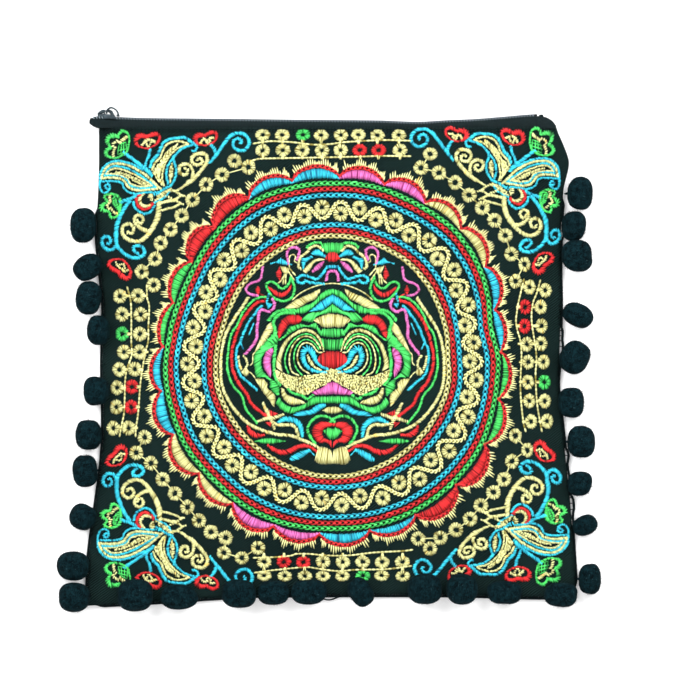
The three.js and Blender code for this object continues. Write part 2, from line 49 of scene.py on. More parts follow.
# A value in a shader: operators add Math nodes, node() adds any other kind
class Wire:
    def __init__(self, tree, socket=None):
        self.tree = tree
        self.socket = socket

    def put(self, target, value):
        if isinstance(value, Wire):
            self.tree.links.new(value.socket, target)
        elif hasattr(value, "__len__") and len(value) == 3 and target.type == "RGBA":
            target.default_value = (*value, 1.0)
        else:
            target.default_value = value

    def node(self, kind, settings=None, inputs=None, output=0):
        made = self.tree.nodes.new(kind)
        for name, value in (settings or {}).items():
            setattr(made, name, value)
        for name, value in (inputs or {}).items():
            self.put(made.inputs[name], value)
        return Wire(self.tree, made.outputs[output])

    def math(self, operation, *values, clamp=False):
        settings = {"operation": operation, "use_clamp": clamp}
        return self.node("ShaderNodeMath", settings, dict(enumerate(values)))

    def __add__(self, other):
        return self.math("ADD", self, other)

    def __sub__(self, other):
        return self.math("SUBTRACT", self, other)

    def __rsub__(self, other):
        return self.math("SUBTRACT", other, self)

    def __mul__(self, other):
        return self.math("MULTIPLY", self, other)

    __radd__ = __add__
    __rmul__ = __mul__

    def clamp(self):
        return self.math("ADD", self, 0.0, clamp=True)

    def stripes(self, pitch):  # up to 1 and down to 0 in every pitch
        return self.math("SINE", self * (2 * np.pi / pitch)) * 0.5 + 0.5

    def split(self):  # the first two parts of a vector
        made = self.node("ShaderNodeSeparateXYZ", None, {0: self}).socket.node
        return [Wire(self.tree, made.outputs[i]) for i in (0, 1)]

    def place(self):
        return self.node("ShaderNodeTexCoord", output="Object")

    def mix(self, factor, low, high):
        return self.node("ShaderNodeMix", {"data_type": "RGBA"}, {0: factor, 6: low, 7: high}, 2)

    def noise(self, place, scale, detail=2.0):
        return self.node("ShaderNodeTexNoise", None, {"Vector": place, "Scale": scale, "Detail": detail})

    def ramp(self, value, low, high):
        return self.node("ShaderNodeMapRange", None, {"Value": value, "From Min": low, "From Max": high})

    def bump(self, height, strength, depth):
        return self.node("ShaderNodeBump", None, {"Height": height, "Strength": strength, "Distance": depth})


# An sRGB colour of 0 to 255 as the shader's linear one
def paint(red, green, blue):
    value = np.array((red, green, blue)) / 255
    linear = np.where(value < 0.04045, value / 12.92, ((value + 0.055) / 1.055) ** 2.4)
    return tuple(float(v) for v in linear)


# Sum of values, each times its share
def blend(values, shares):
    first, *others = [value * share for value, share in zip(values, shares)]
    return sum(others, first)


# A new material, a wire into its tree and its shader's inputs
def newMaterial(name):
    material = bpy.data.materials.new(name)
    material.use_nodes = True
    tree = material.node_tree
    return material, Wire(tree), tree.nodes["Principled BSDF"].inputs


# Cotton twill: diagonal ribs, a slub along them and a little paler lint; a noise has a scale and a detail
twillLook = dict(deep=paint(0, 5, 5), pale=paint(35, 55, 53), lint=paint(70, 88, 90), rib=1.12, pick=1.15,
                 slope=(0.6, 0.8), wobbles=(260.0, 2.0), wobble=0.0011, slubs=(900.0, 3.0), wear=(22.0, 3.0),
                 specks=(1500.0, 1.0), speck=(0.76, 0.84), lintShare=0.5, tones=(1.05, 0.2, 0.4, 0.4),
                 dark=0.8, rough=0.92, ribRough=0.14, gloss=0.03, heights=(0.7, 0.2, 0.5), relief=0.55,
                 depth=0.0002)


def twillMaterial(name, look):
    material, wire, shader = newMaterial(name)
    place = wire.place()
    x, y = place.split()
    wobble = wire.noise(place, *look["wobbles"]) * look["wobble"]
    slopeX, slopeY = look["slope"]
    ribs = (x * slopeX - y * slopeY + wobble).stripes(look["rib"] * mm)
    picks = (x + y).stripes(look["pick"] * mm)
    slub = wire.noise(place, *look["slubs"])
    worn = wire.noise(place, *look["wear"])
    tone = (blend((ribs, picks, slub, worn), look["tones"]) - look["dark"]).clamp()
    cloth = wire.mix(tone, look["deep"], look["pale"])
    lint = wire.ramp(wire.noise(place, *look["specks"]), *look["speck"]) * look["lintShare"]
    wire.put(shader["Base Color"], wire.mix(lint, cloth, look["lint"]))
    wire.put(shader["Roughness"], look["rough"] - ribs * look["ribRough"])
    height = blend((ribs, picks, slub), look["heights"])
    wire.put(shader["Normal"], wire.bump(height, look["relief"], look["depth"]))
    shader["Specular IOR Level"].default_value = look["gloss"]
    return material


# Zip tape: a tight herringbone of fine ribs
tapeLook = dict(deep=paint(3, 9, 10), pale=paint(30, 44, 46), rib=1.1, zigzag=1.5, slubs=(800.0, 3.0),
                tones=(0.5, 0.7), dark=0.25, rough=0.85, ribRough=0.15, gloss=0.08, heights=(1, 0.4),
                relief=0.5, depth=0.0002)


def tapeMaterial(name, look):
    material, wire, shader = newMaterial(name)
    place = wire.place()
    x, y = place.split()
    zigzag = wire.math("PINGPONG", y, look["zigzag"] * mm)
    ribs = (x + zigzag).stripes(look["rib"] * mm)
    slub = wire.noise(place, *look["slubs"])
    tone = (blend((ribs, slub), look["tones"]) - look["dark"]).clamp()
    wire.put(shader["Base Color"], wire.mix(tone, look["deep"], look["pale"]))
    wire.put(shader["Roughness"], look["rough"] - ribs * look["ribRough"])
    height = blend((ribs, slub), look["heights"])
    wire.put(shader["Normal"], wire.bump(height, look["relief"], look["depth"]))
    shader["Specular IOR Level"].default_value = look["gloss"]
    return material


# Painted zip metal: worn paler where the noise is high
metalLook = dict(deep=paint(18, 26, 29), pale=paint(72, 86, 93), metallic=0.6, rough=0.35, rougher=0.25,
                 patches=(700.0, 4.0), scratches=(3200.0, 2.0), tones=(0.8, 0.5), dark=0.25, gloss=0.4,
                 heights=(1, 0.4), relief=0.18, depth=0.0001)


def metalMaterial(name, look):
    material, wire, shader = newMaterial(name)
    place = wire.place()
    patches = wire.noise(place, *look["patches"])
    scratches = wire.noise(place, *look["scratches"])
    tone = (blend((patches, scratches), look["tones"]) - look["dark"]).clamp()
    wire.put(shader["Base Color"], wire.mix(tone, look["deep"], look["pale"]))
    wire.put(shader["Roughness"], tone * look["rougher"] + look["rough"])
    height = blend((patches, scratches), look["heights"])
    wire.put(shader["Normal"], wire.bump(height, look["relief"], look["depth"]))
    shader["Metallic"].default_value = look["metallic"]
    shader["Specular IOR Level"].default_value = look["gloss"]
    return material


# Pompom felt: packed fibres in soft tufts, with a few pale hairs
feltLook = dict(deep=paint(0, 4, 6), pale=paint(26, 62, 70), hair=paint(70, 100, 106), tufts=(420.0, 2.0),
                fibres=(2100.0, 3.0), hairs=(1300.0, 0.0), hairBand=(0.77, 0.85), hairShare=0.35,
                tones=(0.55, 1.1), dark=0.66, rough=1.0, gloss=0.05, heights=(0.6, 1), relief=0.8,
                depth=0.0004)


def feltMaterial(name, look):
    material, wire, shader = newMaterial(name)
    place = wire.place()
    tufts = wire.noise(place, *look["tufts"])
    fibres = wire.noise(place, *look["fibres"])
    tone = (blend((tufts, fibres), look["tones"]) - look["dark"]).clamp()
    felt = wire.mix(tone, look["deep"], look["pale"])
    hairs = wire.ramp(wire.noise(place, *look["hairs"]), *look["hairBand"]) * look["hairShare"]
    wire.put(shader["Base Color"], wire.mix(hairs, felt, look["hair"]))
    height = blend((tufts, fibres), look["heights"])
    wire.put(shader["Normal"], wire.bump(height, look["relief"], look["depth"]))
    shader["Roughness"].default_value = look["rough"]
    shader["Specular IOR Level"].default_value = look["gloss"]
    return material


# Glossy embroidery thread, or dull sewing thread: each strand has its own tone, and a twist shows up close
threadLook = dict(along=2.6, round=0.8, shade=0.12, oddFrom=0.985, oddShare=0.6, rough=0.08, relief=0.25,
                  depth=0.0001)


def threadMaterial(name, deep, pale, rough=0.5, gloss=0.22, odd=None):
    material, wire, shader = newMaterial(name)
    tone = wire.node("ShaderNodeAttribute", {"attribute_name": "tone"}, None, "Fac")
    u, v = wire.node("ShaderNodeUVMap", {"uv_map": "thread"}).split()
    twist = (u * threadLook["along"] + v * threadLook["round"]).stripes(1.0)
    shade = twist * threadLook["shade"] - threadLook["shade"] / 2
    colour = wire.mix((tone + shade).clamp(), deep, pale)
    if odd:
        share = wire.ramp(tone, threadLook["oddFrom"], 1.0) * threadLook["oddShare"]
        colour = wire.mix(share, colour, odd)
    wire.put(shader["Base Color"], colour)
    wire.put(shader["Roughness"], rough + twist * threadLook["rough"])
    wire.put(shader["Normal"], wire.bump(twist, threadLook["relief"], threadLook["depth"]))
    shader["Specular IOR Level"].default_value = gloss
    return material


materials = {
    "twill": twillMaterial("black_twill", twillLook),
    "zip_tape": tapeMaterial("zip_tape_weave", tapeLook),
    # Coil nylon is black; its paler grey is a painted highlight along the coil's upper side
    "zip_coil": threadMaterial("zip_coil_nylon", paint(2, 8, 9), paint(124, 138, 146), 0.45, 0.2),
    "zip_metal": metalMaterial("zip_dark_metal", metalLook),
    "braid": threadMaterial("braid_thread", paint(2, 6, 7), paint(24, 36, 38), 0.9, 0.06),
    "felt": feltMaterial("pompom_felt", feltLook),
    "gold_thread": threadMaterial(
        "gold_thread", paint(128, 114, 32), paint(255, 255, 184), odd=paint(244, 190, 40)),
    "red_thread": threadMaterial("red_thread", paint(96, 8, 12), paint(255, 58, 60)),
    "green_thread": threadMaterial("green_thread", paint(0, 88, 26), paint(96, 250, 124)),
    "blue_thread": threadMaterial("blue_thread", paint(0, 84, 118), paint(70, 232, 255)),
    "pink_thread": threadMaterial("pink_thread", paint(140, 36, 98), paint(255, 140, 218)),
}
print("materials:", len(materials))


# A mesh object at the origin from places in millimetres and arrays of faces with equal corners
def addPiece(name, places, faces, slot, stands=(), uv=None, tone=None, body="bag"):
    places = np.asarray(places, float).reshape(-1, 3)
    corners = np.concatenate([np.ravel(f) for f in faces])
    sizes = np.concatenate([np.full(len(f), f.shape[1]) for f in faces])
    mesh = bpy.data.meshes.new(name)
    mesh.vertices.add(len(places))
    mesh.vertices.foreach_set("co", np.ravel(places * mm))
    mesh.loops.add(len(corners))
    mesh.loops.foreach_set("vertex_index", corners)
    mesh.polygons.add(len(sizes))
    mesh.polygons.foreach_set("loop_start", np.cumsum(sizes) - sizes)
    mesh.polygons.foreach_set("use_smooth", np.ones(len(sizes), bool))
    if uv is not None:
        layer = mesh.uv_layers.new(name="thread")
        layer.data.foreach_set("uv", np.ravel(uv.reshape(-1, 2)[corners]))
    if tone is not None:
        mesh.attributes.new("tone", "FLOAT", "POINT").data.foreach_set("value", np.ravel(tone))
    mesh.update(calc_edges=True)
    mesh.validate()
    mesh.materials.append(materials[slot])
    piece = bpy.data.objects.new(name, mesh)
    bpy.context.scene.collection.objects.link(piece)
    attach(piece, body)
    if stands:
        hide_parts(*stands)
    return piece


# One piece from many parts, each with its places, faces, thread coordinates and tones
def addParts(name, parts, slot, stands=(), body="bag"):
    starts = np.cumsum([0] + [len(part[0]) for part in parts[:-1]])
    faces = [face + start for part, start in zip(parts, starts) for face in part[1]]
    corners, uv, tone = (np.concatenate([part[k] for part in parts]) for k in (0, 2, 3))
    print(name, "triangles:", sum(len(face) * (face.shape[1] - 2) for face in faces))
    addPiece(name, corners, faces, slot, stands, uv, tone, body)


# A part of one tone, without thread coordinates
def plainPart(corners, faces, tone=0.0):
    return corners, faces, np.zeros((len(corners), 2)), np.full(len(corners), tone)


# Quads of a grid of rows by columns, whose corners are numbered row by row
def gridFaces(rows, columns, wrapColumns=False):
    numbers = np.arange(rows * columns).reshape(rows, columns)
    if wrapColumns:
        numbers = np.hstack([numbers, numbers[:, :1]])
    quads = [numbers[:-1, :-1], numbers[1:, :-1], numbers[1:, 1:], numbers[:-1, 1:]]
    return np.stack(quads, -1).reshape(-1, 4)


# Closed wall between two grids of points: both faces, and a rim all round
def wallFaces(rows, columns):
    count = rows * columns
    top = gridFaces(rows, columns)
    numbers = np.arange(count).reshape(rows, columns)
    loop = np.concatenate([numbers[:-1, 0], numbers[-1, :-1], numbers[:0:-1, -1], numbers[0, :0:-1]])
    after = np.roll(loop, -1)
    rim = np.stack([loop, loop + count, after + count, after], -1)
    return [top, top[:, ::-1] + count, rim]


# Vectors cut or stretched to a length of one
def unit(vectors):
    return vectors / np.maximum(np.linalg.norm(vectors, axis=-1, keepdims=True), 1e-9)


# Outward direction at each corner of a grid: the cross product of its two slopes
def gridNormals(grid):
    return unit(np.cross(np.gradient(grid, axis=0), np.gradient(grid, axis=1)))


# Distance along a path to each of its places
def lengthAlong(path):
    return np.concatenate([[0], np.cumsum(np.linalg.norm(np.diff(path, axis=0), axis=1))])


# Cubic through a table's rows, with each slope taken from the row's two neighbours
def curveThrough(at, values):
    last = len(at) - 1

    def curve(place):
        spot = np.clip(place, at[0], at[last])
        i = np.clip(np.searchsorted(at, spot) - 1, 0, last - 1)
        before, after = np.maximum(i - 1, 0), np.minimum(i + 2, last)
        span = at[i + 1] - at[i]
        f = (spot - at[i]) / span
        rest = 1 - f
        slopeFrom = (values[i + 1] - values[before]) / (at[i + 1] - at[before]) * span
        slopeTo = (values[after] - values[i]) / (at[after] - at[i]) * span
        ends = values[i] * rest**2 * (1 + 2 * f) + values[i + 1] * f**2 * (3 - 2 * f)
        return ends + slopeFrom * f * rest**2 - slopeTo * f**2 * rest

    return curve


# Outline of both panels. Sides: height up the bag, left seam, right seam
sideRows = np.array([
    (-133, -130.8, 133.9), (-105, -129.7, 132.2), (-77, -125.9, 130.3), (-58, -123.3, 128.3),
    (-38, -122, 126.2), (-14, -122.4, 123.6), (0, -122.5, 124.4), (31, -122, 125.1),
    (50, -124, 124.8), (71, -125.6, 125.3), (92, -124.8, 126.7), (106, -124.4, 129.6),
    (113.5, -124.4, 127.7), (124.5, -124.4, 122.9)]).T
bottomRows = np.array([  # place along the bottom seam, its height
    (-131, -132.9), (-92, -130.7), (-60, -128.5), (-37, -127.3), (61, -127), (115, -128.2), (134, -127.5)]).T
crownRows = np.array([  # height up the bag, swell of the front, distance in from the side seams to reach it
    (-133, 8.2, 30), (-90, 8.8, 38), (0, 9.6, 40), (80, 9.2, 36), (105, 8.8, 24), (124.5, 8.4, 10)]).T
foldRows = np.array([  # dents of the front: centre, direction, half length, half width, depth
    (108, 96, 38, 26, 8, 0.9), (-106, 62, -20, 24, 9, 0.7), (48, 118, 90, 16, 12, 0.6),
    (104, -34, 14, 28, 10, 0.8), (-104, -62, -24, 30, 10, 0.8), (-18, -112, 82, 14, 18, 0.7)])
panels = dict(top=125.4, wall=1.2, rim=2.7, bottomRise=60, across=150, up=150, join=0.05, backLift=0.35,
              backReach=1.5, bulge=1.03)  # bulge: the front's cut is worked out a little larger, for its swell
puckers = dict(high=0.16, lengthX=5.1, swayX=1.7, slowX=13, lengthY=6.3, swayY=1.3, slowY=11)

leftEdge = curveThrough(sideRows[0], sideRows[1])
rightEdge = curveThrough(sideRows[0], sideRows[2])
bottomEdge = curveThrough(bottomRows[0], bottomRows[1])
crown = curveThrough(crownRows[0], crownRows[1])
sideRise = curveThrough(crownRows[0], crownRows[2])


# 0 at a seam, rising smoothly to 1 at the reach
def swell(distance, reach):
    f = np.clip(distance / reach, 0, 1)
    return f * f * (3 - 2 * f)


# Outer face of the front: the swell in from three seams times the crown, less the dents and small puckers
def frontHeight(x, y):
    sides = swell(x - leftEdge(y), sideRise(y)) * swell(rightEdge(y) - x, sideRise(y))
    full = sides * swell(y - bottomEdge(x), panels["bottomRise"])
    dents = 0
    for foldX, foldY, turn, length, width, depth in foldRows:
        c, s = np.cos(np.radians(turn)), np.sin(np.radians(turn))
        along = (x - foldX) * c + (y - foldY) * s
        across = (y - foldY) * c - (x - foldX) * s
        dents = dents + depth * np.exp(-((along / length) ** 2) - (across / width) ** 2)
    rippleX = np.sin(x / puckers["lengthX"] + puckers["swayX"] * np.sin(y / puckers["slowX"]))
    rippleY = np.sin(y / puckers["lengthY"] + puckers["swayY"] * np.sin(x / puckers["slowY"]))
    return panels["rim"] + full * (crown(y) - dents + puckers["high"] * (rippleX * rippleY))


# Grid of places on a panel, across from the left seam to the right one and up from the bottom to the top
def panelGrid(columns, rows):
    across, up = np.meshgrid(np.linspace(0, 1, columns), np.linspace(0, 1, rows), indexing="ij")
    roughX = bottomRows[0, 0] + across * (bottomRows[0, -1] - bottomRows[0, 0])
    low = bottomEdge(roughX)
    y = low + up * (panels["top"] - low)
    left = leftEdge(y)
    return left + across * (rightEdge(y) - left), y


# Front: a swollen wall that closes down to the back along its rim. Back: flat, its outer edge rounded up
def makePanels():
    across, up = panels["across"], panels["up"]
    x, y = panelGrid(across, up)
    outer = np.stack([x, y, frontHeight(x, y)], -1)
    inner = outer - gridNormals(outer) * panels["wall"]
    rim = np.ones((across, up), bool)
    rim[1:-1, 1:-1] = False
    inner[rim] = outer[rim] - upward * (panels["rim"] - panels["wall"] - panels["join"])
    front = addPiece("front_cloth", [outer, inner], wallFaces(across, up), "twill", ["front_panel"])
    x, y = panelGrid(across // 2, up // 2)
    edge = np.minimum.reduce([x - leftEdge(y), rightEdge(y) - x, y - bottomEdge(x)])
    upper = np.stack([x, y, np.full_like(x, panels["wall"])], -1)
    lower = np.stack([x, y, panels["backLift"] * (1 - swell(edge, panels["backReach"]))], -1)
    back = addPiece("back_cloth", [upper, lower], wallFaces(*x.shape), "twill", ["back_panel"])
    width = (rightEdge(0) - leftEdge(0)) * mm
    length = (panels["top"] - bottomEdge(0)) * mm
    cut = (width * panels["bulge"], length * panels["bulge"])
    print("panels:", across * up, "points on the front")


makePanels()


# Embroidery, on a chart of 0.54 mm units with x to the right and y down
chart = dict(unit=0.54, zeroX=329.15, zeroY=359.95, middleX=332.5, clear=0.04)
threadNames = ("black", "gold", "gold_fans", "gold_eyelets", "red", "green", "blue", "pink")
threads = {name: [] for name in threadNames}
# A strand's three corners, across it and up from it, and its painted shade: darker at the side corners and
# towards both ends, where a round strand turns into shade, and near black on strands that stand for shadowed
# slits
strand = dict(across=(1, 0, -1), up=(-0.15, 1, -0.15), plump=0.9, shadedCornerTones=(-0.3, 0.1, -0.3), shadedEndTone=0.7,
              archTone=0.3, archEnds=(0.02, 0.98), archRound=0.5, bend=0.6, odd=0.012, slitShadeTone=0.15,
              topTone=0.98)


# Closed three-sided threads along strands x stations x 3 places, each strand with a tone of its own, with
# shade painted into the tones at the sides, at the ends and on slit strands
def strandMesh(place, half, side=None, low=0.4, high=1.0, slits=0.0):
    count, stations = place.shape[:2]
    heading = unit(np.gradient(place, axis=1))
    side = unit(np.cross(upward, heading) if side is None else side)
    top = np.cross(heading, side)
    t = np.clip(np.linspace(0, 1, stations), *strand["archEnds"])
    arch = np.sin(np.pi * t) ** strand["archRound"]
    half = np.broadcast_to(half, (count, stations))[..., None, None]
    across = np.array(strand["across"])
    raised = np.array(strand["up"])[:, None] * strand["plump"]
    corners = place[:, :, None] + half * (side[:, :, None] * across[:, None] + top[:, :, None] * raised)
    strandTone = chance.uniform(low, high, (count, 1, 1))
    odd, shadedSlit = chance.random((2, count, 1, 1)) < np.array((strand["odd"], slits))[:, None, None, None]
    # Painted shade: tones fall at the side corners and towards the ends, and slit strands are painted near
    # black as shadowed gaps
    shade = (strand["shadedEndTone"] + strand["archTone"] * arch)[:, None] + np.array(strand["shadedCornerTones"])
    tone = strandTone * shade * np.where(shadedSlit, strand["slitShadeTone"], 1)
    tone = np.where(odd, 1.0, np.clip(tone, 0, strand["topTone"]))
    length = np.cumsum(np.linalg.norm(np.diff(place, axis=1, prepend=place[:, :1]), axis=-1), axis=1)
    uv = np.stack(np.broadcast_arrays(length[..., None], across), -1)
    numbers = np.arange(count * stations * 3).reshape(count, stations, 3)
    ring = np.concatenate([numbers, numbers[..., :1]], -1)
    quads = np.stack([ring[:, :-1, :-1], ring[:, :-1, 1:], ring[:, 1:, 1:], ring[:, 1:, :-1]], -1)
    ends = np.concatenate([numbers[:, 0, [0, 2, 1]], numbers[:, -1]])
    return corners.reshape(-1, 3), [quads.reshape(-1, 4), ends], uv.reshape(-1, 2), np.ravel(tone)


# Chart places as millimetres on the bag
def onBag(places):
    x = (places[..., 0] - chart["zeroX"]) * chart["unit"]
    y = (chart["zeroY"] - places[..., 1]) * chart["unit"]
    return x, y


# Strands laid on the front, arched a little over the cloth; tones are a strand's lowest and highest tone and
# the share of strands painted dark as the shade in slits
def lay(thread, lines, width, lift=0.3, tones=(0.4, 1.0, 0.06)):
    lines = np.asarray(lines, float)
    x, y = onBag(lines)
    arch = np.sin(np.pi * np.linspace(0, 1, lines.shape[1])) ** strand["bend"]
    place = np.stack([x, y, frontHeight(x, y) + chart["clear"] + lift * arch], -1)
    threads[thread].append(strandMesh(place, np.asarray(width) * chart["unit"] / 2, None, *tones))


# Places from text, each "x,y", or "x,y,width" where the width holds until the next one
def points(text):
    rows = [[float(value) for value in place.split(",")] for place in text.split()]
    width = 0.0
    for row in rows:
        width = row[2] if len(row) > 2 else width
        row[2:] = [width]
    rows = np.array(rows)
    return rows if width else rows[:, :2]


# Random shifts, as far either way
def stray(reach, size):
    return chance.uniform(-reach, reach, size)


# Width along a strand: thinner at both ends, where the needle goes in
def needled(end=0.5, stations=4):
    return 1 - (1 - end) * np.abs(np.linspace(-1, 1, stations)) ** 3


# Smooth curve through the points, then count places at equal steps along it
smooth = dict(steps=16, fine=80)  # places in a span, and in a line whose length is measured


def evenly(line, count):
    padded = np.vstack([2 * line[0] - line[1], line, 2 * line[-1] - line[-2]])
    t = np.linspace(0, len(line) - 1, smooth["steps"] * (len(line) - 1) + 1)
    i = np.minimum(t.astype(int), len(line) - 2)
    f = (t - i)[:, None]
    a, b, c, d = (padded[i + k] for k in range(4))
    curve = b + 0.5 * ((c - a) * f + (2 * a - 5 * b + 4 * c - d) * f**2 + (3 * b - a - 3 * c + d) * f**3)
    length = lengthAlong(curve[:, :2])
    at = np.linspace(0, length[-1], count)
    return np.stack([np.interp(at, length, column) for column in curve.T], -1)


# Length of the smooth curve through the points
def lengthOf(line):
    return np.linalg.norm(np.diff(evenly(line[:, :2], smooth["fine"]), axis=0), axis=1).sum()


# Longer of two edges
def longest(edgeA, edgeB):
    return max(lengthOf(edgeA), lengthOf(edgeB))


# Direction of a flat line at each place, and the direction square to it
def leftOf(line):
    heading = unit(np.gradient(line, axis=0))
    return heading, np.stack([-heading[:, 1], heading[:, 0]], -1)


# Straight strands from the starts to the ends
def straight(starts, ends, stations=4):
    t = np.linspace(0, 1, stations)[:, None]
    return starts[:, None] * (1 - t) + ends[:, None] * t


# Bed of padding under satin: a low pillow between the two edges, painted a dark tone of its thread as the
# shadow seen in the gaps between strands
padding = dict(high=0.13, deep=0.1, inset=0.07, columns=6, row=2, least=4, round=0.6, tone=0.1)


def bed(thread, edgeA, edgeB):
    rows = max(padding["least"], round(longest(edgeA, edgeB) / padding["row"]))
    t = np.linspace(padding["inset"], 1 - padding["inset"], padding["columns"])
    grid = evenly(edgeA, rows)[:, None] * (1 - t)[:, None] + evenly(edgeB, rows)[:, None] * t[:, None]
    x, y = onBag(grid)
    cloth = frontHeight(x, y)
    pillow = padding["high"] * np.sin(np.pi * t) ** padding["round"]
    upper = np.stack([x, y, cloth + chart["clear"] + pillow], -1)
    lower = np.stack([x, y, cloth - padding["deep"]], -1)
    wall = wallFaces(rows, len(t))
    across, along = upper[-1, 0] - upper[0, 0], upper[0, -1] - upper[0, 0]
    if np.cross(across[:2], along[:2]) < 0:  # turns the faces outwards
        wall = [face[:, ::-1] for face in wall]
    corners = np.concatenate([upper.reshape(-1, 3), lower.reshape(-1, 3)])
    threads[thread].append(plainPart(corners, wall, padding["tone"]))


# Satin: a strand every pitch, straight from one edge to the other, with a few left out and a few painted dark
# as shadowed slits
satin = dict(pitch=1.1, least=3, stray=0.4, uneven=(0.85, 1.15), gaps=0.06, lift=0.38,
             tones=(0.46, 1.0, 0.08))


def fill(thread, edgeA, edgeB, pitch=satin["pitch"], gaps=satin["gaps"], wide=1.0):
    count = max(satin["least"], round(longest(edgeA, edgeB) / pitch))
    starts = evenly(edgeA, count) + stray(satin["stray"], (count, 2))
    ends = evenly(edgeB, count) + stray(satin["stray"], (count, 2))
    width = pitch * wide * chance.uniform(*satin["uneven"], (count, 1)) * needled()
    kept = chance.random(count) > gaps
    lay(thread, straight(starts, ends)[kept], width[kept], satin["lift"], satin["tones"])
    if wide >= 1:
        bed(thread, edgeA, edgeB)


# Seed filling: satin strands broken into short stitches that lie a little askew
seed = dict(stitch=2.7, pitch=1.5, cover=0.98, least=0.2, stray=0.6, width=1.65, lift=0.4,
            tones=(0.5, 1.0, 0.1))


def seeds(thread, edgeA, edgeB, stitch=seed["stitch"]):
    count = round(longest(edgeA, edgeB) / seed["pitch"])
    starts, ends = evenly(edgeA, count), evenly(edgeB, count)
    reach = np.linalg.norm(ends - starts, axis=1)
    full = np.maximum(reach, 1)[:, None]
    rows = np.arange(int(reach.max() / stitch) + 2) - chance.random((count, 1))
    along = rows * stitch / full
    begin, finish = np.clip(along, 0, 1), np.clip(along + seed["cover"] * stitch / full, 0, 1)
    kept = finish - begin > seed["least"] * stitch / full
    column = np.broadcast_to(np.arange(count)[:, None], kept.shape)[kept]
    way = (ends - starts)[column]
    askew = stray(seed["stray"], (2, len(column), 2))
    lines = straight(starts[column] + way * begin[kept][:, None] + askew[0],
                     starts[column] + way * finish[kept][:, None] + askew[1])
    lay(thread, lines, seed["width"] * needled(), seed["lift"], seed["tones"])


# Cord stitch: short slanted strands across a line, as long as the line is wide there
cord = dict(pitch=1.7, least=3, slant=0.28, stray=0.4, uneven=(0.95, 1.2), end=0.7, lift=0.42,
            tones=(0.5, 1.0, 0.025))


def rope(thread, width, line):
    count = max(cord["least"], round(lengthOf(line) / cord["pitch"]))
    middle = evenly(line, count)
    wide = middle[:, 2:] if line.shape[1] > 2 else np.full((count, 1), width)
    heading, side = leftOf(middle[:, :2])
    reach = (side / 2 + heading * cord["slant"]) * wide
    askew = stray(cord["stray"], (2, count, 2))
    lines = straight(middle[:, :2] - reach + askew[0], middle[:, :2] + reach + askew[1])
    width = cord["pitch"] * chance.uniform(*cord["uneven"], (count, 1)) * needled(cord["end"])
    lay(thread, lines, width, cord["lift"], cord["tones"])


# Running line: strands end to end along it
running = dict(stitch=4.5, end=0.7, lift=0.25)


def run(thread, width, line, stitch=running["stitch"]):
    count = max(1, round(lengthOf(line) / stitch))
    path = evenly(line[:, :2], 3 * count + 1)
    lines = path[3 * np.arange(count)[:, None] + np.arange(4)]
    lay(thread, lines, width * needled(running["end"]), running["lift"])


# Kinds of chain link: step, widths of link and strand, length in steps, loss of width at both ends, tones;
# the side strands' tones are low as painted shade round the slit, the bead's high as a painted highlight
ringLink = dict(pitch=5.9, wide=6.0, strand=1.9, long=1.25, taper=0.0, sides=(0.18, 0.5), bead=(0.7, 1.0))
weaveLink = dict(pitch=3.3, wide=4.8, strand=1.6, long=1.05, taper=0.0, sides=(0.6, 1.0), bead=(0.8, 1.0))
rimLink = dict(pitch=4.8, wide=5.2, strand=1.8, long=1.2, taper=0.45, sides=(0.2, 0.55), bead=(0.55, 0.9))
# What all links share: how far apart the strands are along the link, and the bead, in steps and in widths
anyLink = dict(stray=0.2, stations=6, bowAt=(0, 0.3, 0.75, 1), bow=(0.05, 0.5, 1, 0.65), back=0.1, lift=0.3,
               endPower=6, beadLong=0.42, beadWide=0.45, beadEnd=0.6, beadLift=0.5)


# Chain stitch: two strands part like a V round a slit, painted darker as its shade, and a bead, painted
# bright as a highlight, stands where the next link starts
def chain(thread, line, link):
    count = round(lengthOf(line) / link["pitch"])
    step = lengthOf(line) / count
    middle = evenly(line, count + 1)[:-1] + stray(anyLink["stray"], (count, 2))
    heading, side = leftOf(middle)
    fromMiddle = np.abs(np.linspace(-1, 1, count))[:, None]
    wide = link["wide"] * (1 - link["taper"] * fromMiddle ** anyLink["endPower"])
    t = np.linspace(0, 1, anyLink["stations"])
    bow = np.interp(t, anyLink["bowAt"], anyLink["bow"]) * (wide - link["strand"]) / 2
    forward = middle[:, None] + heading[:, None] * (step * (link["long"] * t - anyLink["back"]))[:, None]
    for way in (-1, 1):
        lines = forward + side[:, None] * (way * bow)[..., None]
        lay(thread, lines, link["strand"], anyLink["lift"], link["sides"])
    bead = straight(middle - heading * step * anyLink["back"], middle + heading * step * anyLink["beadLong"])
    width = wide * anyLink["beadWide"] * needled(anyLink["beadEnd"])
    lay(thread, bead, width, anyLink["beadLift"], link["bead"])


# Share of an eyelet's size that shows where the cloth turns away: up the picture, then across it
turned = dict(y=(135, 150, 165, 545, 562, 576), tall=(0.78, 0.86, 1, 1, 0.85, 0.72),
              x=(113, 140, 505, 522, 547), wide=(0.9, 0.97, 1, 0.83, 0.85))
eyelet = dict(radius=7.5, hole=2.2, strands=34, turnStray=0.35, stray=0.3, innerStray=(-0.5, 0.9),
              outerStray=(-0.7, 0.4), wedge=(1.1, 1, 0.95, 0.75), uneven=(0.85, 1.15), lift=0.35,
              tones=(0.5, 1.0, 0.1))


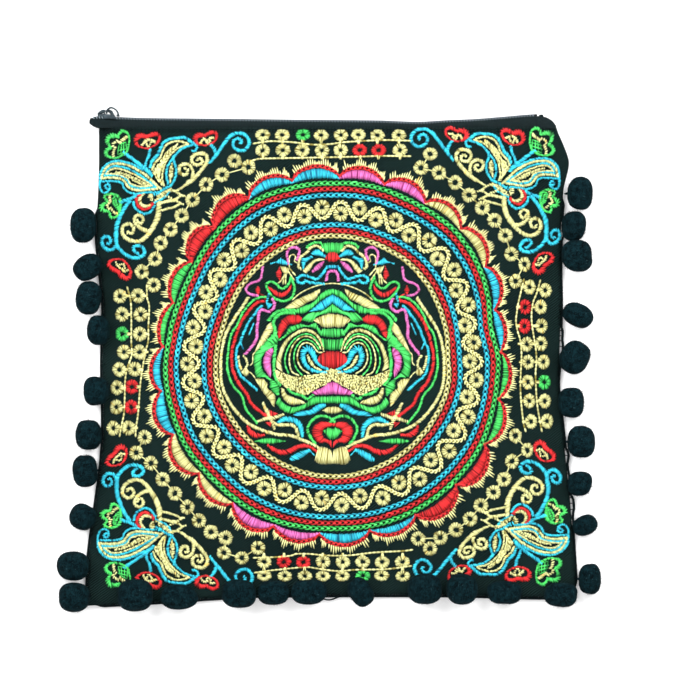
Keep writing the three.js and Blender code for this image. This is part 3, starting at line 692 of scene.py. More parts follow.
# Eyelets: wedge strands from the hole to the rim
def eyelets(thread, centres, radius=eyelet["radius"], hole=eyelet["hole"]):
    many, count = len(centres), eyelet["strands"]
    turn = np.arange(count) / count + stray(eyelet["turnStray"], (many, count)) / count
    turn = 2 * np.pi * (turn + chance.random((many, 1)))
    shown = np.stack([np.interp(centres[:, 0], turned["x"], turned["wide"]),
                      np.interp(centres[:, 1], turned["y"], turned["tall"])], -1)
    ray = (np.stack([np.cos(turn), np.sin(turn)], -1) * shown[:, None]).reshape(-1, 2)
    middle = np.repeat(centres + stray(eyelet["stray"], (many, 2)), count, axis=0)
    inner = middle + ray * (hole + chance.uniform(*eyelet["innerStray"], (many * count, 1)))
    outer = middle + ray * (radius + chance.uniform(*eyelet["outerStray"], (many * count, 1)))
    wedge = 2 * np.pi / count * np.linspace(hole, radius, 4) * np.array(eyelet["wedge"])
    wedge = wedge * chance.uniform(*eyelet["uneven"], (many * count, 1))
    lay(thread, straight(inner, outer), wedge, eyelet["lift"], eyelet["tones"])


# Medallion: its middle, the radii where the cloth's pull was measured, and how much taller it is than wide
medallion = dict(x=332.6, y=356.3, inner=127, outer=166, tall=1.046, places=97)
ringPull = np.array([  # degrees clockwise from the top, shift of the inner rings, shift of the outer ones
    (0, 0.2, -0.7), (15, 0.7, 0.9), (30, 1.3, 1.8), (45, 2.5, 4.9), (60, 1.5, 3.1), (70, 0.1, -0.8),
    (80, -1.3, -5.8), (90, -0.9, -0.9), (100, 1.7, 0.3), (110, 2.7, 2.4), (120, 2.6, 4.6), (135, 2.1, 4.2),
    (150, 1, 2.8), (165, 0.4, 0.6), (180, -0.1, -1.1), (195, -0.1, 0.4), (210, -0.1, 1.4), (225, 0.8, 1.5),
    (240, 2.1, 3.8), (255, 2.7, 2.4), (265, 1.3, 1.7), (275, -0.8, -1.5), (285, -2.7, -3.5),
    (295, -3.2, -4.7), (305, -2.5, -3.3), (315, -1.7, -1.2), (325, -0.8, 0.7), (335, -0.1, 1.3),
    (345, 0.1, 0), (360, 0.2, -0.7)]).T
innerPull, outerPull = (curveThrough(ringPull[0], shift) for shift in ringPull[1:])


# Ellipse about the medallion's middle, from the top and clockwise, pulled in and out as the cloth lies
def around(turn, radiusX, radiusY):
    degrees = np.degrees(turn) % 360
    share = (radiusX - medallion["inner"]) / (medallion["outer"] - medallion["inner"])
    pull = innerPull(degrees) * (1 - share) + outerPull(degrees) * share
    return np.stack([medallion["x"] + (radiusX + pull) * np.sin(turn),
                     medallion["y"] - (radiusY + pull * medallion["tall"]) * np.cos(turn)], -1)


fullTurn = np.linspace(0, 2 * np.pi, medallion["places"])
chainRings = [  # thread, radius across, radius up
    ("green", 165.8, 173.5), ("red", 160.7, 167.7), ("blue", 155.1, 161.3),
    ("blue", 127.6, 131.2), ("red", 121.7, 125.3), ("gold", 115.8, 119.9)]
for thread, radiusX, radiusY in chainRings:
    chain(thread, around(fullTurn, radiusX, radiusY), ringLink)

# Ring of eyelets in and out by turns, with a fine chain weaving between them over a thread painted dark as
# the shade inside the chain's links
eyeletRing = dict(count=48, first=-4.4, radiusX=141, radiusY=146, sway=3.6, weave=8.2, fullness=0.75,
                  eyelet=7.7)
shadeUnderThread = dict(places=800, width=2.4, lift=0.06, tones=(0.12, 0.16))
ringSlip = np.array([  # degrees of an even ring, degrees that the cloth has slipped round
    (0, 0.2), (55, 0), (70, -0.7), (92, -1.1), (108, -1.9), (123, -2.5), (138, -2.4), (153, -1.7),
    (168, 0.3), (185, 1.7), (201, 2.3), (216, 3.1), (236, 2.8), (258, 2), (273, 0.9), (296, 0.5), (325, 0),
    (360, 0.2)]).T


# Turn on an even ring, moved on by the slip of the cloth there
def slipped(turn):
    return turn + np.radians(np.interp(np.degrees(turn) % 360, *ringSlip))


# Place on the ring of eyelets, moved out from its middle line
def onEyeletRing(turn, out):
    return around(slipped(turn), eyeletRing["radiusX"] + out, eyeletRing["radiusY"] + out)


ringTurn = np.radians(eyeletRing["first"]) + 2 * np.pi * np.arange(eyeletRing["count"]) / eyeletRing["count"]
sway = eyeletRing["sway"] * (-1) ** np.arange(eyeletRing["count"])
weaveTurn = np.linspace(0, 2 * np.pi, 4 * eyeletRing["count"] + 1) + ringTurn[0]
wave = -np.cos(eyeletRing["count"] / 2 * (weaveTurn - ringTurn[0]))
weave = eyeletRing["weave"] * np.sign(wave) * np.abs(wave) ** eyeletRing["fullness"]
weaveLine = onEyeletRing(weaveTurn, weave)
chain("gold", weaveLine, weaveLink)
# The thread under the chain is painted dark, as the shade in the chain's holes
shadeLine = evenly(weaveLine, shadeUnderThread["places"])[None]
lay("gold", shadeLine, shadeUnderThread["width"], shadeUnderThread["lift"], shadeUnderThread["tones"])
eyelets("gold_eyelets", onEyeletRing(ringTurn, sway), eyeletRing["eyelet"])

# Scallops as they lie round the medallion: degrees of the notch, its radius, radius of the top after it
scallopMarks = points(
    "2.2,171,182.2 17.4,171,183.8 32.1,172.5,185.8 46.3,175.5,186.8 60.7,174,181.7 74.5,167,174.3"
    " 88.3,166.5,178.5 103.6,169,183.3 118.8,172,187.5 134.8,173,187.7 151.3,172,181 167.3,169.5,181"
    " 184.3,169.5,180.5 199.9,171.5,184.3 215.3,171.5,183 230,173,187.7 244.8,175,186.8 258.9,173.5,181.8"
    " 272.9,168.5,175.5 287.7,166,177.2 302.3,167,181.8 316.1,170,185 330.9,172,183 346.3,171.5,182.2")
scallopMarks = np.vstack([scallopMarks, scallopMarks[0] + (360, 0, 0)])
scallopThreads = ["pink", "gold", "blue", "green", "red", "blue"] * 2
crescent = dict(inX=169.8, inY=177.6, rise=1.4, share=0.84, blunt=0.62, places=13)
# Gold fans outside a scallop, as shares of its length: first foot, last foot, tip
fanShares = [(0.02, 0.27, 0.09), (0.27, 0.56, 0.41), (0.56, 0.85, 0.71), (0.85, 0.99, 0.93)]
fan = dict(foot=1.7, high=10.8, blunt=0.16, usual=0.29, fall=0.76, power=0.9, least=3, strands=18,
           stray=(-0.2, 0.16), width=(2.1, 1.85, 1.3, 0.65), lift=0.2, tones=(0.75, 1.0))


# Place at a turn and radius of the ring as measured, taller than wide
def onRing(turn, radius):
    return np.stack([medallion["x"] + radius * np.sin(turn),
                     medallion["y"] - radius * medallion["tall"] * np.cos(turn)], -1)


# Outline of a scallop at shares of its length: from notch to notch, and up between them by a blunt sine
def scallopRim(number, share, out=0.0):
    (begin, notch, top), (finish, nextNotch, _) = scallopMarks[number:number + 2]
    foot = notch + (nextNotch - notch) * share
    rise = (top - (notch + nextNotch) / 2) * np.sin(np.pi * share) ** crescent["blunt"]
    return onRing(np.radians(begin + (finish - begin) * share), foot + rise + out)


# Satin crescent, red chain along its outline, and fans whose strands shorten from the tip to both sides
for number, thread in enumerate(np.repeat(scallopThreads, 2)):
    begin, finish = scallopMarks[number:number + 2, 0]
    share = np.linspace(0, 1, crescent["places"])
    outline = scallopRim(number, share)
    rise = crescent["rise"] * np.sin(np.pi * share)
    turn = np.radians(begin + (finish - begin) * share)
    lower = around(turn, crescent["inX"] + rise, crescent["inY"] + rise)
    fill(thread, lower, lower + (outline - lower) * crescent["share"])
    chain("red", outline, rimLink)
    for first, last, tip in fanShares:
        spread = np.linspace(-1, 1, fan["least"] + round(fan["strands"] * (last - first)))
        foot = scallopRim(number, (first + last) / 2 + spread * (last - first) / 2, fan["foot"])
        apex = scallopRim(number, tip + spread * fan["blunt"] * (last - first) / fan["usual"], fan["high"])
        far = 1 - fan["fall"] * np.abs(spread)[:, None] ** fan["power"]
        far = far + chance.uniform(*fan["stray"], far.shape)
        strands = straight(foot, foot + (apex - foot) * far)
        lay("gold_fans", strands, np.array(fan["width"]), fan["lift"], fan["tones"])
print("medallion laid")

# Two rows of black topstitching below the zip
topstitch = dict(rows=(129, 131.5), x=(101, 330, 553), sag=(0, 0.4, 0), width=1.1, stitch=5.2)
for row in topstitch["rows"]:
    seam = np.stack([topstitch["x"], np.add(row, topstitch["sag"])], -1)
    run("black", topstitch["width"], seam, topstitch["stitch"])

# Straight rows of eyelets by the edges, each with a short stem to the line on its inner side
edgeEyelets = [
    ("gold", "262.7,135.3 282.4,135.3 321.2,135.3 340.6,135.3 358.6,135.3 377.3,135.3 398.6,135.3"),
    ("gold", "262.7,150.6 283,150.6 302.4,150.6 321.8,150.6 340.6,150.6 400,150.6"),
    ("gold", "263.9,562 322.8,562 342.6,562 362.3,562 382.4,562 402.7,562"),
    ("gold", "263.9,576 285,576 304.5,576 323,576 342.7,576 382,576 402.7,576"),
    ("gold", "120,296 122,314.5 124,352 119,369.5 117,388 116,407 113,428"),
    ("gold", "138,296 140.6,314.5 140,334 139.6,352 134.5,369.5 129,428"),
    ("gold", "529.6,287 526.7,344 528,362 528,382 529,401 531,421.6"),
    ("gold", "545.5,290 541,307 541.4,326 541,344 543.5,362 545,401 547.5,421.6"),
    ("red", "360,150.6 378.4,150.6 284,562 303.5,562 132,387 131,407 525,307 524.7,326"),
    ("green", "302.9,135.3 363,576 122,334 544.5,382")]
stem = dict(aside=1.2, foot=4.5, tip=9, close=0.4, width=1.3, lift=0.45)
edgeBands = dict(top=170, bottom=540, left=200)  # where a row belongs to that edge
for thread, places in edgeEyelets:
    middles = points(places)
    eyelets(thread.replace("gold", "gold_eyelets"), middles)
    x, y = middles.T
    level = (y < edgeBands["top"]) | (y > edgeBands["bottom"])
    inX = np.where(level, 0, np.where(x < edgeBands["left"], 1, -1))
    inY = np.where(level, np.where(y < edgeBands["top"], 1, -1), 0)
    inward, sideways = np.stack([inX, inY], -1), np.stack([inY, inX], -1)
    for aside in (-stem["aside"], 0, stem["aside"]):
        foot = middles + inward * stem["foot"] + sideways * aside
        tip = middles + inward * stem["tip"] + sideways * aside * stem["close"]
        lay("gold_eyelets", straight(foot, tip), stem["width"], stem["lift"])
edgeLines = [
    "253,144 262,142.5 271,141.5 285,142 297,143 309,144.6 317,145 330,144.4 340,143 351,142 382,140.4"
    " 411,141",
    "252,161 260,159 276,158.6 309,158 343,157.3 366,156.7 384,156.2 411,156.5",
    "253,558 280,557 292,555.5 296,554 309,554 322,555.2 336,555.8 351,555.3 374,552.6 403,551 413,549.7",
    "254,573 266,571.3 277,570 305,567.3 315,568.4 328,570.3 340,571.3 355,570 387,569.2 412,566",
    "127,286.6 130.5,300 131.3,314 131.3,341 131.7,355 127,369 125,382 124.7,397 124,413 122,423 119.3,437",
    "147,284.6 147.3,298 149.4,306.5 148.6,326 148.4,341 145.3,353.5 140.7,382 138.2,413 136,428 135.6,437",
    "524,278.7 518.4,302 516.8,312 515.8,321 517.4,331 520,340 521.4,355 520.3,389 523,420 525.8,432",
    "540.5,279.7 536.8,293 533.2,302 531.6,312 532,325 535.8,349 536.5,362 535.6,375 537.2,404 542,432"]
edgeThread = dict(width=2.2, stitch=4.1)
for line in edgeLines:
    run("gold", edgeThread["width"], points(line), edgeThread["stitch"])

# Slanting rows of eyelets between the medallion and the corners, joined by short stitches
slantRows = [
    "234.5,161 248.8,167.6 222,175 206.5,185 192.7,200 182,215.5 171,229.4 161,243.5 155,259 142,271.6"
    " 154,285",
    "430,154 421,168 439,173 455,183 469,195 482,208 494.5,220.6 505,235.5 511,254 524.5,264.5 515.5,281",
    "145,437 136,453 151,463 163,479 175,493.5 188,507 199,520.6 211,532 226,538 224,553 242,558 258,548",
    "515.5,436 527,450 511.4,461 504,479 493,492 481,505 470,519 456,530 440,538 418,538.6 430,548.6"]
slantEyelet = dict(radius=7.4, hole=2.6, rim=6.5, joinWidth=1.3, joinLift=0.1)
for row in slantRows:
    middles = points(row)
    eyelets("gold_eyelets", middles, slantEyelet["radius"], slantEyelet["hole"])
    rim = unit(np.diff(middles, axis=0)) * slantEyelet["rim"]
    joins = straight(middles[:-1] + rim, middles[1:] - rim)
    lay("gold", joins, slantEyelet["joinWidth"], slantEyelet["joinLift"])
print("eyelets laid")

# Corner motif as it lies at the top left: thread, then places along the line with its widths
cornerRopes = [
    # corner flower, three lobes
    ("green", "118.5,137.2,1.8 119.7,133.8,2.6 123.1,131.4,3.4 127.7,133.2,2.2 129.4,138.4,1.8 129.2,145.3"
     " 127.1,151.6,2.2 124.3,153.9"),
    ("green", "119,137.5,2.5 114.5,135.8,4.4 109.8,136.2,5.4 107.6,139.6,4.6 108.6,144.1,3 110.8,147.3,2"),
    ("green", "110.8,147.3,3 107,149.9,4 106,153.7,3.8 108.8,157,2.5 114.5,157.9,2 120.3,156.5"
     " 124.3,153.9,3"),
    ("gold", "127,137.2,3 123.1,140.1 119.4,143"),
    ("gold", "117.7,141,2.6 113.9,143 112.8,145.8"),
    ("gold", "115.1,147.6,2.8 113.4,152.1 113.4,156.2"),
    ("blue", "123.7,152.7,3.4 132.3,159 140.9,165.4 148.4,171.7,4.4 152.4,176.3,3"),
    # heart
    ("red", "148.7,149,1.4 140.9,147.4,1.8 136.6,143.9,3 136.6,139.7,5.2 139.2,136.6,5.6 143.2,135.8,4.8"
     " 147.5,137.2,4.4 151.8,135,4.4 156.6,134.2,4.2 159.6,136.4,3.4 159.2,140.7,2.8 155.8,145.2,1.8"
     " 149,148.7,1.4"),
    ("gold", "142.6,145.3,2.2 145.5,141.2,2.6 150.1,139.8 155.3,142"),
    ("gold", "146.1,142.5,1.9 148.4,147 151.5,142.8"),
    ("blue", "150.1,149.9,3.2 149.2,155.6,2.8 146.7,161.3,2.5 145.5,165.9"),
    # heart by the scroll
    ("red", "205.6,145.8,1.2 198.6,144.4,2.6 195.4,140,5.2 198.2,136,5.4 202.6,135,4 205.4,135.8,3.2"
     " 209.4,133.2,3.6 214,132.4,3.4 216.9,134.8,3 216,139.9,2 211.8,143.7,1.4 205.6,145.8,1.2"),
    ("gold", "200.7,143.3,2.2 203.8,139.3 207.5,140.6 210.6,138.1 213.7,138.4"),
    ("gold", "206.3,140.6,1.7 207.5,144 210.6,141.2"),
    ("blue", "211.2,144.9,3.2 214.3,149.2 216.2,154.2"),
    # scroll
    ("blue", "210,163.2,2.6 213.7,158.5,3.2 218.6,152.3,3.4 224.8,143,3.6 229.8,136.9 235.4,133.8,3.4"
     " 242.2,133.8 247.1,136.9 249.3,142.4 247.1,148,3.2 242.2,151.1 236.6,149.8 233.2,145.5,3 233.8,141.2"
     " 237.8,138.7 242,141.2 240.9,143.7"),
    # upper wing
    ("blue", "150.4,167.6,2.4 152.4,161.3,3.2 158.1,155 160.2,149.9,3 163.9,143 169.6,139.2,2.7"
     " 177.7,138.4,2.8 185.2,138.1,3 190.8,141.8,3.4 196.4,145.8,2.6 197.3,148,2.4 195.1,151.1 192,151.1"),
    ("gold", "152.4,169.9,1.9 155,163.6 161,157.3 163,151 167.3,144.9 175.4,141.4 182.8,142.3 188.3,144.3"),
    ("gold", "163.9,186,1.7 162.4,177.4 164,167.6 168.7,157.9 174.7,151.1 180.9,146.8 187.7,144.8"),
    ("blue", "192.7,145.4,2.2 186.5,147 180.9,150 176.6,154.2 172.9,159.1 168.5,165.3 166.7,171.5"
     " 166.7,177.7 168.5,183.9"),
    ("blue", "173.5,156.7,2.3 174.4,162.8 176.3,169 175.9,176.5 173.2,182.6 170.1,187"),
    # left wing
    ("blue", "100.2,180.3,2.3 100.2,174 103.6,167.1 110.5,162.2 119.1,161 129.4,163.3 138.6,167.6"
     " 143.8,170.5"),
    ("gold", "100.9,178,2.4 103.9,170.7 110.2,164.7 119.1,163.7 129.4,165.7 138.6,170.6 146.7,176"
     " 154.7,183.7 161,189.5"),
    ("blue", "104.5,175.7,1.9 107.6,169.4 113.9,166.1 120.8,166.8 130.6,169.9 140.9,176 149.5,182"
     " 155.9,187.2"),
    ("gold", "105.6,174,1.5 110.5,169.6 117.4,168.4 127.1,171.3 138.6,176.7 152.4,185.6"),
    ("gold", "106.5,173.6,1.5 113.9,174 122.6,176 127.7,178.6 129.4,182 132.9,184.9 140.9,186.7"
     " 152.4,185.7"),
    ("blue", "104.2,175.7,1.9 111.1,175.2 119.1,175.8 125.4,178.4 128.3,182.3 131.7,186.3 138.6,188.3"
     " 146.7,188.3 155.3,187.7"),
    ("gold", "100.9,178.6,2.5 108.8,177.5 118,178.1 123.7,180.5 126.6,184.5 130.6,188.5 137.5,190.6"
     " 146.7,190 157,188.9"),
    ("blue", "100.2,181.4,2 109.4,181.1 118,181.6 122.6,183.7 124.3,188.3 128.3,192 135.2,194 143.8,192.9"
     " 152.4,192.6"),
    ("blue", "99.9,180.3,2 99.6,186 101.3,191.2 104.8,192.9 108.8,190 109.6,186 107.1,184 104.8,186.6"
     " 107.1,188.3"),
    ("blue", "170.4,186.4,2.6 164.5,189 158,193.6"),
    ("blue", "169.1,192.3,1.8 165.6,196.9 159.9,200.4 154.7,202.7"),
    ("gold", "169.1,191.3,2.2 173,190.6 177,192.2 181.5,195.6"),
    ("gold", "181.5,195.6,2.2 176,199.3 168.5,201 162,203"),
    ("gold", "166,196.4,2 171.5,198.6"),
    ("gold", "162,203,2.2 170.4,201.4 176,200.8 180.5,203.6"),
    ("gold", "180.5,203.6,2.2 175,207 168.5,208.8 162.3,210.5"),
    ("gold", "181,195.6,1.6 185,196.4"),
    ("gold", "180,203.6,1.6 183.4,204.6"),
    # upper gold vine
    ("gold", "177.8,190.7,1.8 185.2,185.7,2.8 189.5,182.4,4.4 192.7,180.2,4.2 200.1,172.1,3.6 205.6,164.7"
     " 207.5,159.1,3.8 205.6,154.8,3.6 200.7,153.6 195.1,154.8,3.4 192,158.5 192.7,162.8 196.4,165.3,3.2"
     " 201.3,164.1,3 202.6,160.4 199.5,158.5,2.8 197.6,160.4,2.4"),
    ("gold", "192.7,177.7,3.4 193,171.5,3 190.2,165.9,3.2 185.2,164.1,3.4 180.3,166.6 179.7,171.5"
     " 182.8,175.2,3.2 187.1,174,3 187.7,169.6,2.8 184.6,169,2.4"),
    # eye
    ("gold", "143.8,194.1,2 140.7,197.3,3 140.1,201.9,3.2 143.1,205.6 147,206.5,3 150.3,205.4,2.5"),
    ("red", "140.5,194.7,2.6 136.8,198,2.5 136.8,202.5,3 139.9,207.5 145.1,209.8,2.6 150.3,207.1,2.8"
     " 152.9,203.8,3.6"),
    ("blue", "133.4,201.9,2.4 134.7,207.1 139.2,211.6 145.1,213.9 150.9,211.6 154.8,205.8"),
    # side flower, four lobes
    ("green", "110.6,194.3,2.2 105.4,195.2 104.3,197.5 106.7,200.2"),
    ("green", "106.7,201.9,2.5 102,205.1,4.4 101.6,208.8,4.8 104.4,210.6,4 108.7,211,2.5"),
    ("green", "109.3,212.3,2.5 110.2,216.5,3 112.6,217.8,2.8 117.1,215.8,2 120,211"),
    ("green", "111.3,193.7,2 116.5,195.4,3 120,199.9,3.8 120,207.7,3 119.5,211.6,2"),
    ("green", "114.5,197.3,2.3 116.5,202.5 118,209"),
    ("green", "113,198.6,1.8 113.7,203.8 116,207.4"),
    ("gold", "110,195.4,2.8 109.6,199.3 110.6,201.9"),
    ("gold", "108.7,203.2,2.4 106.9,205.8 108.7,209"),
    ("gold", "110.6,208.4,2.4 113.9,212.3 117.1,213.6"),
    ("blue", "120.4,201.9,4.2 126.2,200.2,3 132.7,198,3.2 136,195.4,3.5"),
    # blue vine
    ("blue", "130.1,201.2,3.6 125.6,206.4,3.8 121,214.2,4 117.8,222,4.2 116.1,229.8,4.4 116.1,238.3"
     " 117.1,245.4,4 122.3,251.9,3.6 128.8,256.5 135.3,258.1 141.2,256.8 144.7,253.2 143.8,248.7"
     " 139.9,246.1,3.4 135.3,246.1,3.2 133.4,248.7,3 135.3,251.9 138.6,253.9,2.8"),
    ("blue", "115.2,246.1,3.4 112.6,249.3 108,250,3.6 103.5,246.7 101.5,241.5 103.5,237,3.4 108,236.6,3.2"
     " 110.9,240.2,3 109.3,244.1,2.6 107,243.5,2.4"),
    # lower gold vine
    ("gold", "159,201.9,4 159,209,5 158.1,216.8,5.4 154.8,224.6,5 150.9,231.1,4.6 145.7,237.6,4"
     " 139.9,241.2,3.6 132.7,241.2,3.8 126.2,238.3 122.3,233.1,3.6 122.6,227.2,3.4 126.9,224 132.1,225.3"
     " 134,229.2,3.2 132.1,233.1,3 128.2,233.1,2.8 127.5,231.1,2.4"),
    ("gold", "149,231.1,3.6 143.8,229.8,3.8 138.6,226.6,3.4 134.7,222,3 135.3,216.8 139.9,215.2 143.4,218.8"
     " 141.8,223.3 138.6,222.7,2.6 137.3,220.1,2.2"),
    # heart below the vine
    ("red", "110.3,260.8,3 115.8,259,1.7 123,260.2,2 128,265.6,2.2 130.6,272.5,3 128.8,277.2,4.8"
     " 124.3,277.8,5.4 120.6,275.2,5 118,271.6,4.4 112.8,269,4.4 109.3,266,4.4 108.4,263.2,4"
     " 110.3,260.8,3"),
    ("gold", "115.8,262.3,2 117.8,266.2 122.3,269.5 124.3,271.4 128.5,270.1"),
    ("gold", "117.8,265.6,1.7 123,263.8 125.2,268.2")]
cornerFills = [  # thread, one edge, the other edge
    ("gold", "153,172.8 155.8,167.6 159.9,162.5 163.9,155.6 167.3,151 172.5,147 177.7,143.7", "163,186.6"
     " 160.2,178.6 161,171.7 163.9,164.8 167.9,157.2 172.5,151.6 177.7,146.8"),
    ("gold", "115.7,170.8 124,172.2 132,175.7 141,180.2 150,185.2", "116.5,173.6 123,175 130,178.4"
     " 137,183.6 147,186.6"),
    ("gold", "171.3,163.5 169.4,169 169.1,175.2 170.1,181.4", "172.5,164.1 173.7,169.6 173.4,175.8"
     " 170.7,183.3"),
    ("gold", "154.1,201.5 158.1,195.2 163.9,191.2 171.3,188.3", "155.8,202.1 161.6,198.6 166.8,194.1"
     " 171.3,188.9"),
    ("gold", "149,194.1 148.3,198 151.6,200.6", "152.9,194.4 153.8,198 152.9,200.6"),
    ("blue", "153,191.8 158.1,191.2", "155.3,196.3 158.7,194.1")]
flowerNet = (
    "126.5,142 128.5,146 127,152",
    "119.5,145 117,149 117.6,154.6")
net = dict(pitch=2.6, gaps=0, wide=0.5)
wingStitch = 4.2

# Where the same marks of the motif lie in each corner
cornerMarks = {
    "here": "125,152.5 239,151.4 210.2,163.4 119,269.6 162,190 100.2,180.5 197.2,147.1 131.6,259.3"
        " 110.5,205.5 138.1,241.4 205,153.5 107.1,265.3 129.4,279.3 106.8,242.6 99.8,207.9 111.6,219",
    "topRight": "532.9,151.3 420.2,147 451.6,161.6 543.8,263.5 501.5,183.8 558.4,179 464.1,141.8"
        " 531.3,253.2 548.7,200.7 531.3,235.3 461.4,150.2 551.9,258.5 537.2,274.2 554.8,235.6 557.3,204"
        " 551.7,212.6",
    "bottomLeft": "125.7,567.7 243.3,568.8 211.3,555.2 114.3,455.5 164.7,532.5 96.4,541.1 199.4,575.3"
        " 129.5,463.6 111,515.1 138.1,478.8 202.1,568.2 106,463.8 122,446.3 109.7,479.2 100.5,515.5"
        " 113.8,502.5",
    "bottomRight": "540.6,563.4 423.6,559 455,549.3 546.1,450.6 505.4,528.1 569.4,535.2 465.8,562.8"
        " 532.5,460.4 556.9,510.8 527.6,477.7 465.3,557.9 553.8,457.5 538,442 553,477.5 567,512.5"
        " 553.8,497"}
markReach = 90  # square of the distance at which a mark's hold on a point is halved


# Mirror into a corner, then shift each point by the marks' offsets, nearest marks weighing most
def toCorner(corner):
    here, there = points(cornerMarks["here"]), points(cornerMarks[corner])
    flip = np.array((-1 if "Right" in corner else 1, -1 if "bottom" in corner else 1))
    offsets = there - here * flip

    def move(line):
        apart = ((line[:, None] - here) ** 2).sum(-1)
        weight = 1 / (apart + markReach)
        return line * flip + (weight @ offsets) / weight.sum(1, keepdims=True)

    return move


for corner in cornerMarks:
    move = toCorner(corner)
    for thread, edgeA, edgeB in cornerFills:
        seeds(thread, move(points(edgeA)), move(points(edgeB)), wingStitch)
    netA, netB = (move(points(edge)) for edge in flowerNet)
    fill("green", netA, netB, **net)
    fill("green", np.vstack([netA[:1], netB[:1]]), np.vstack([netA[-1:], netB[-1:]]), **net)
    for thread, line in cornerRopes:
        places = points(line)
        rope(thread, 0, np.hstack([move(places[:, :2]), places[:, 2:]]))
print("corners laid")

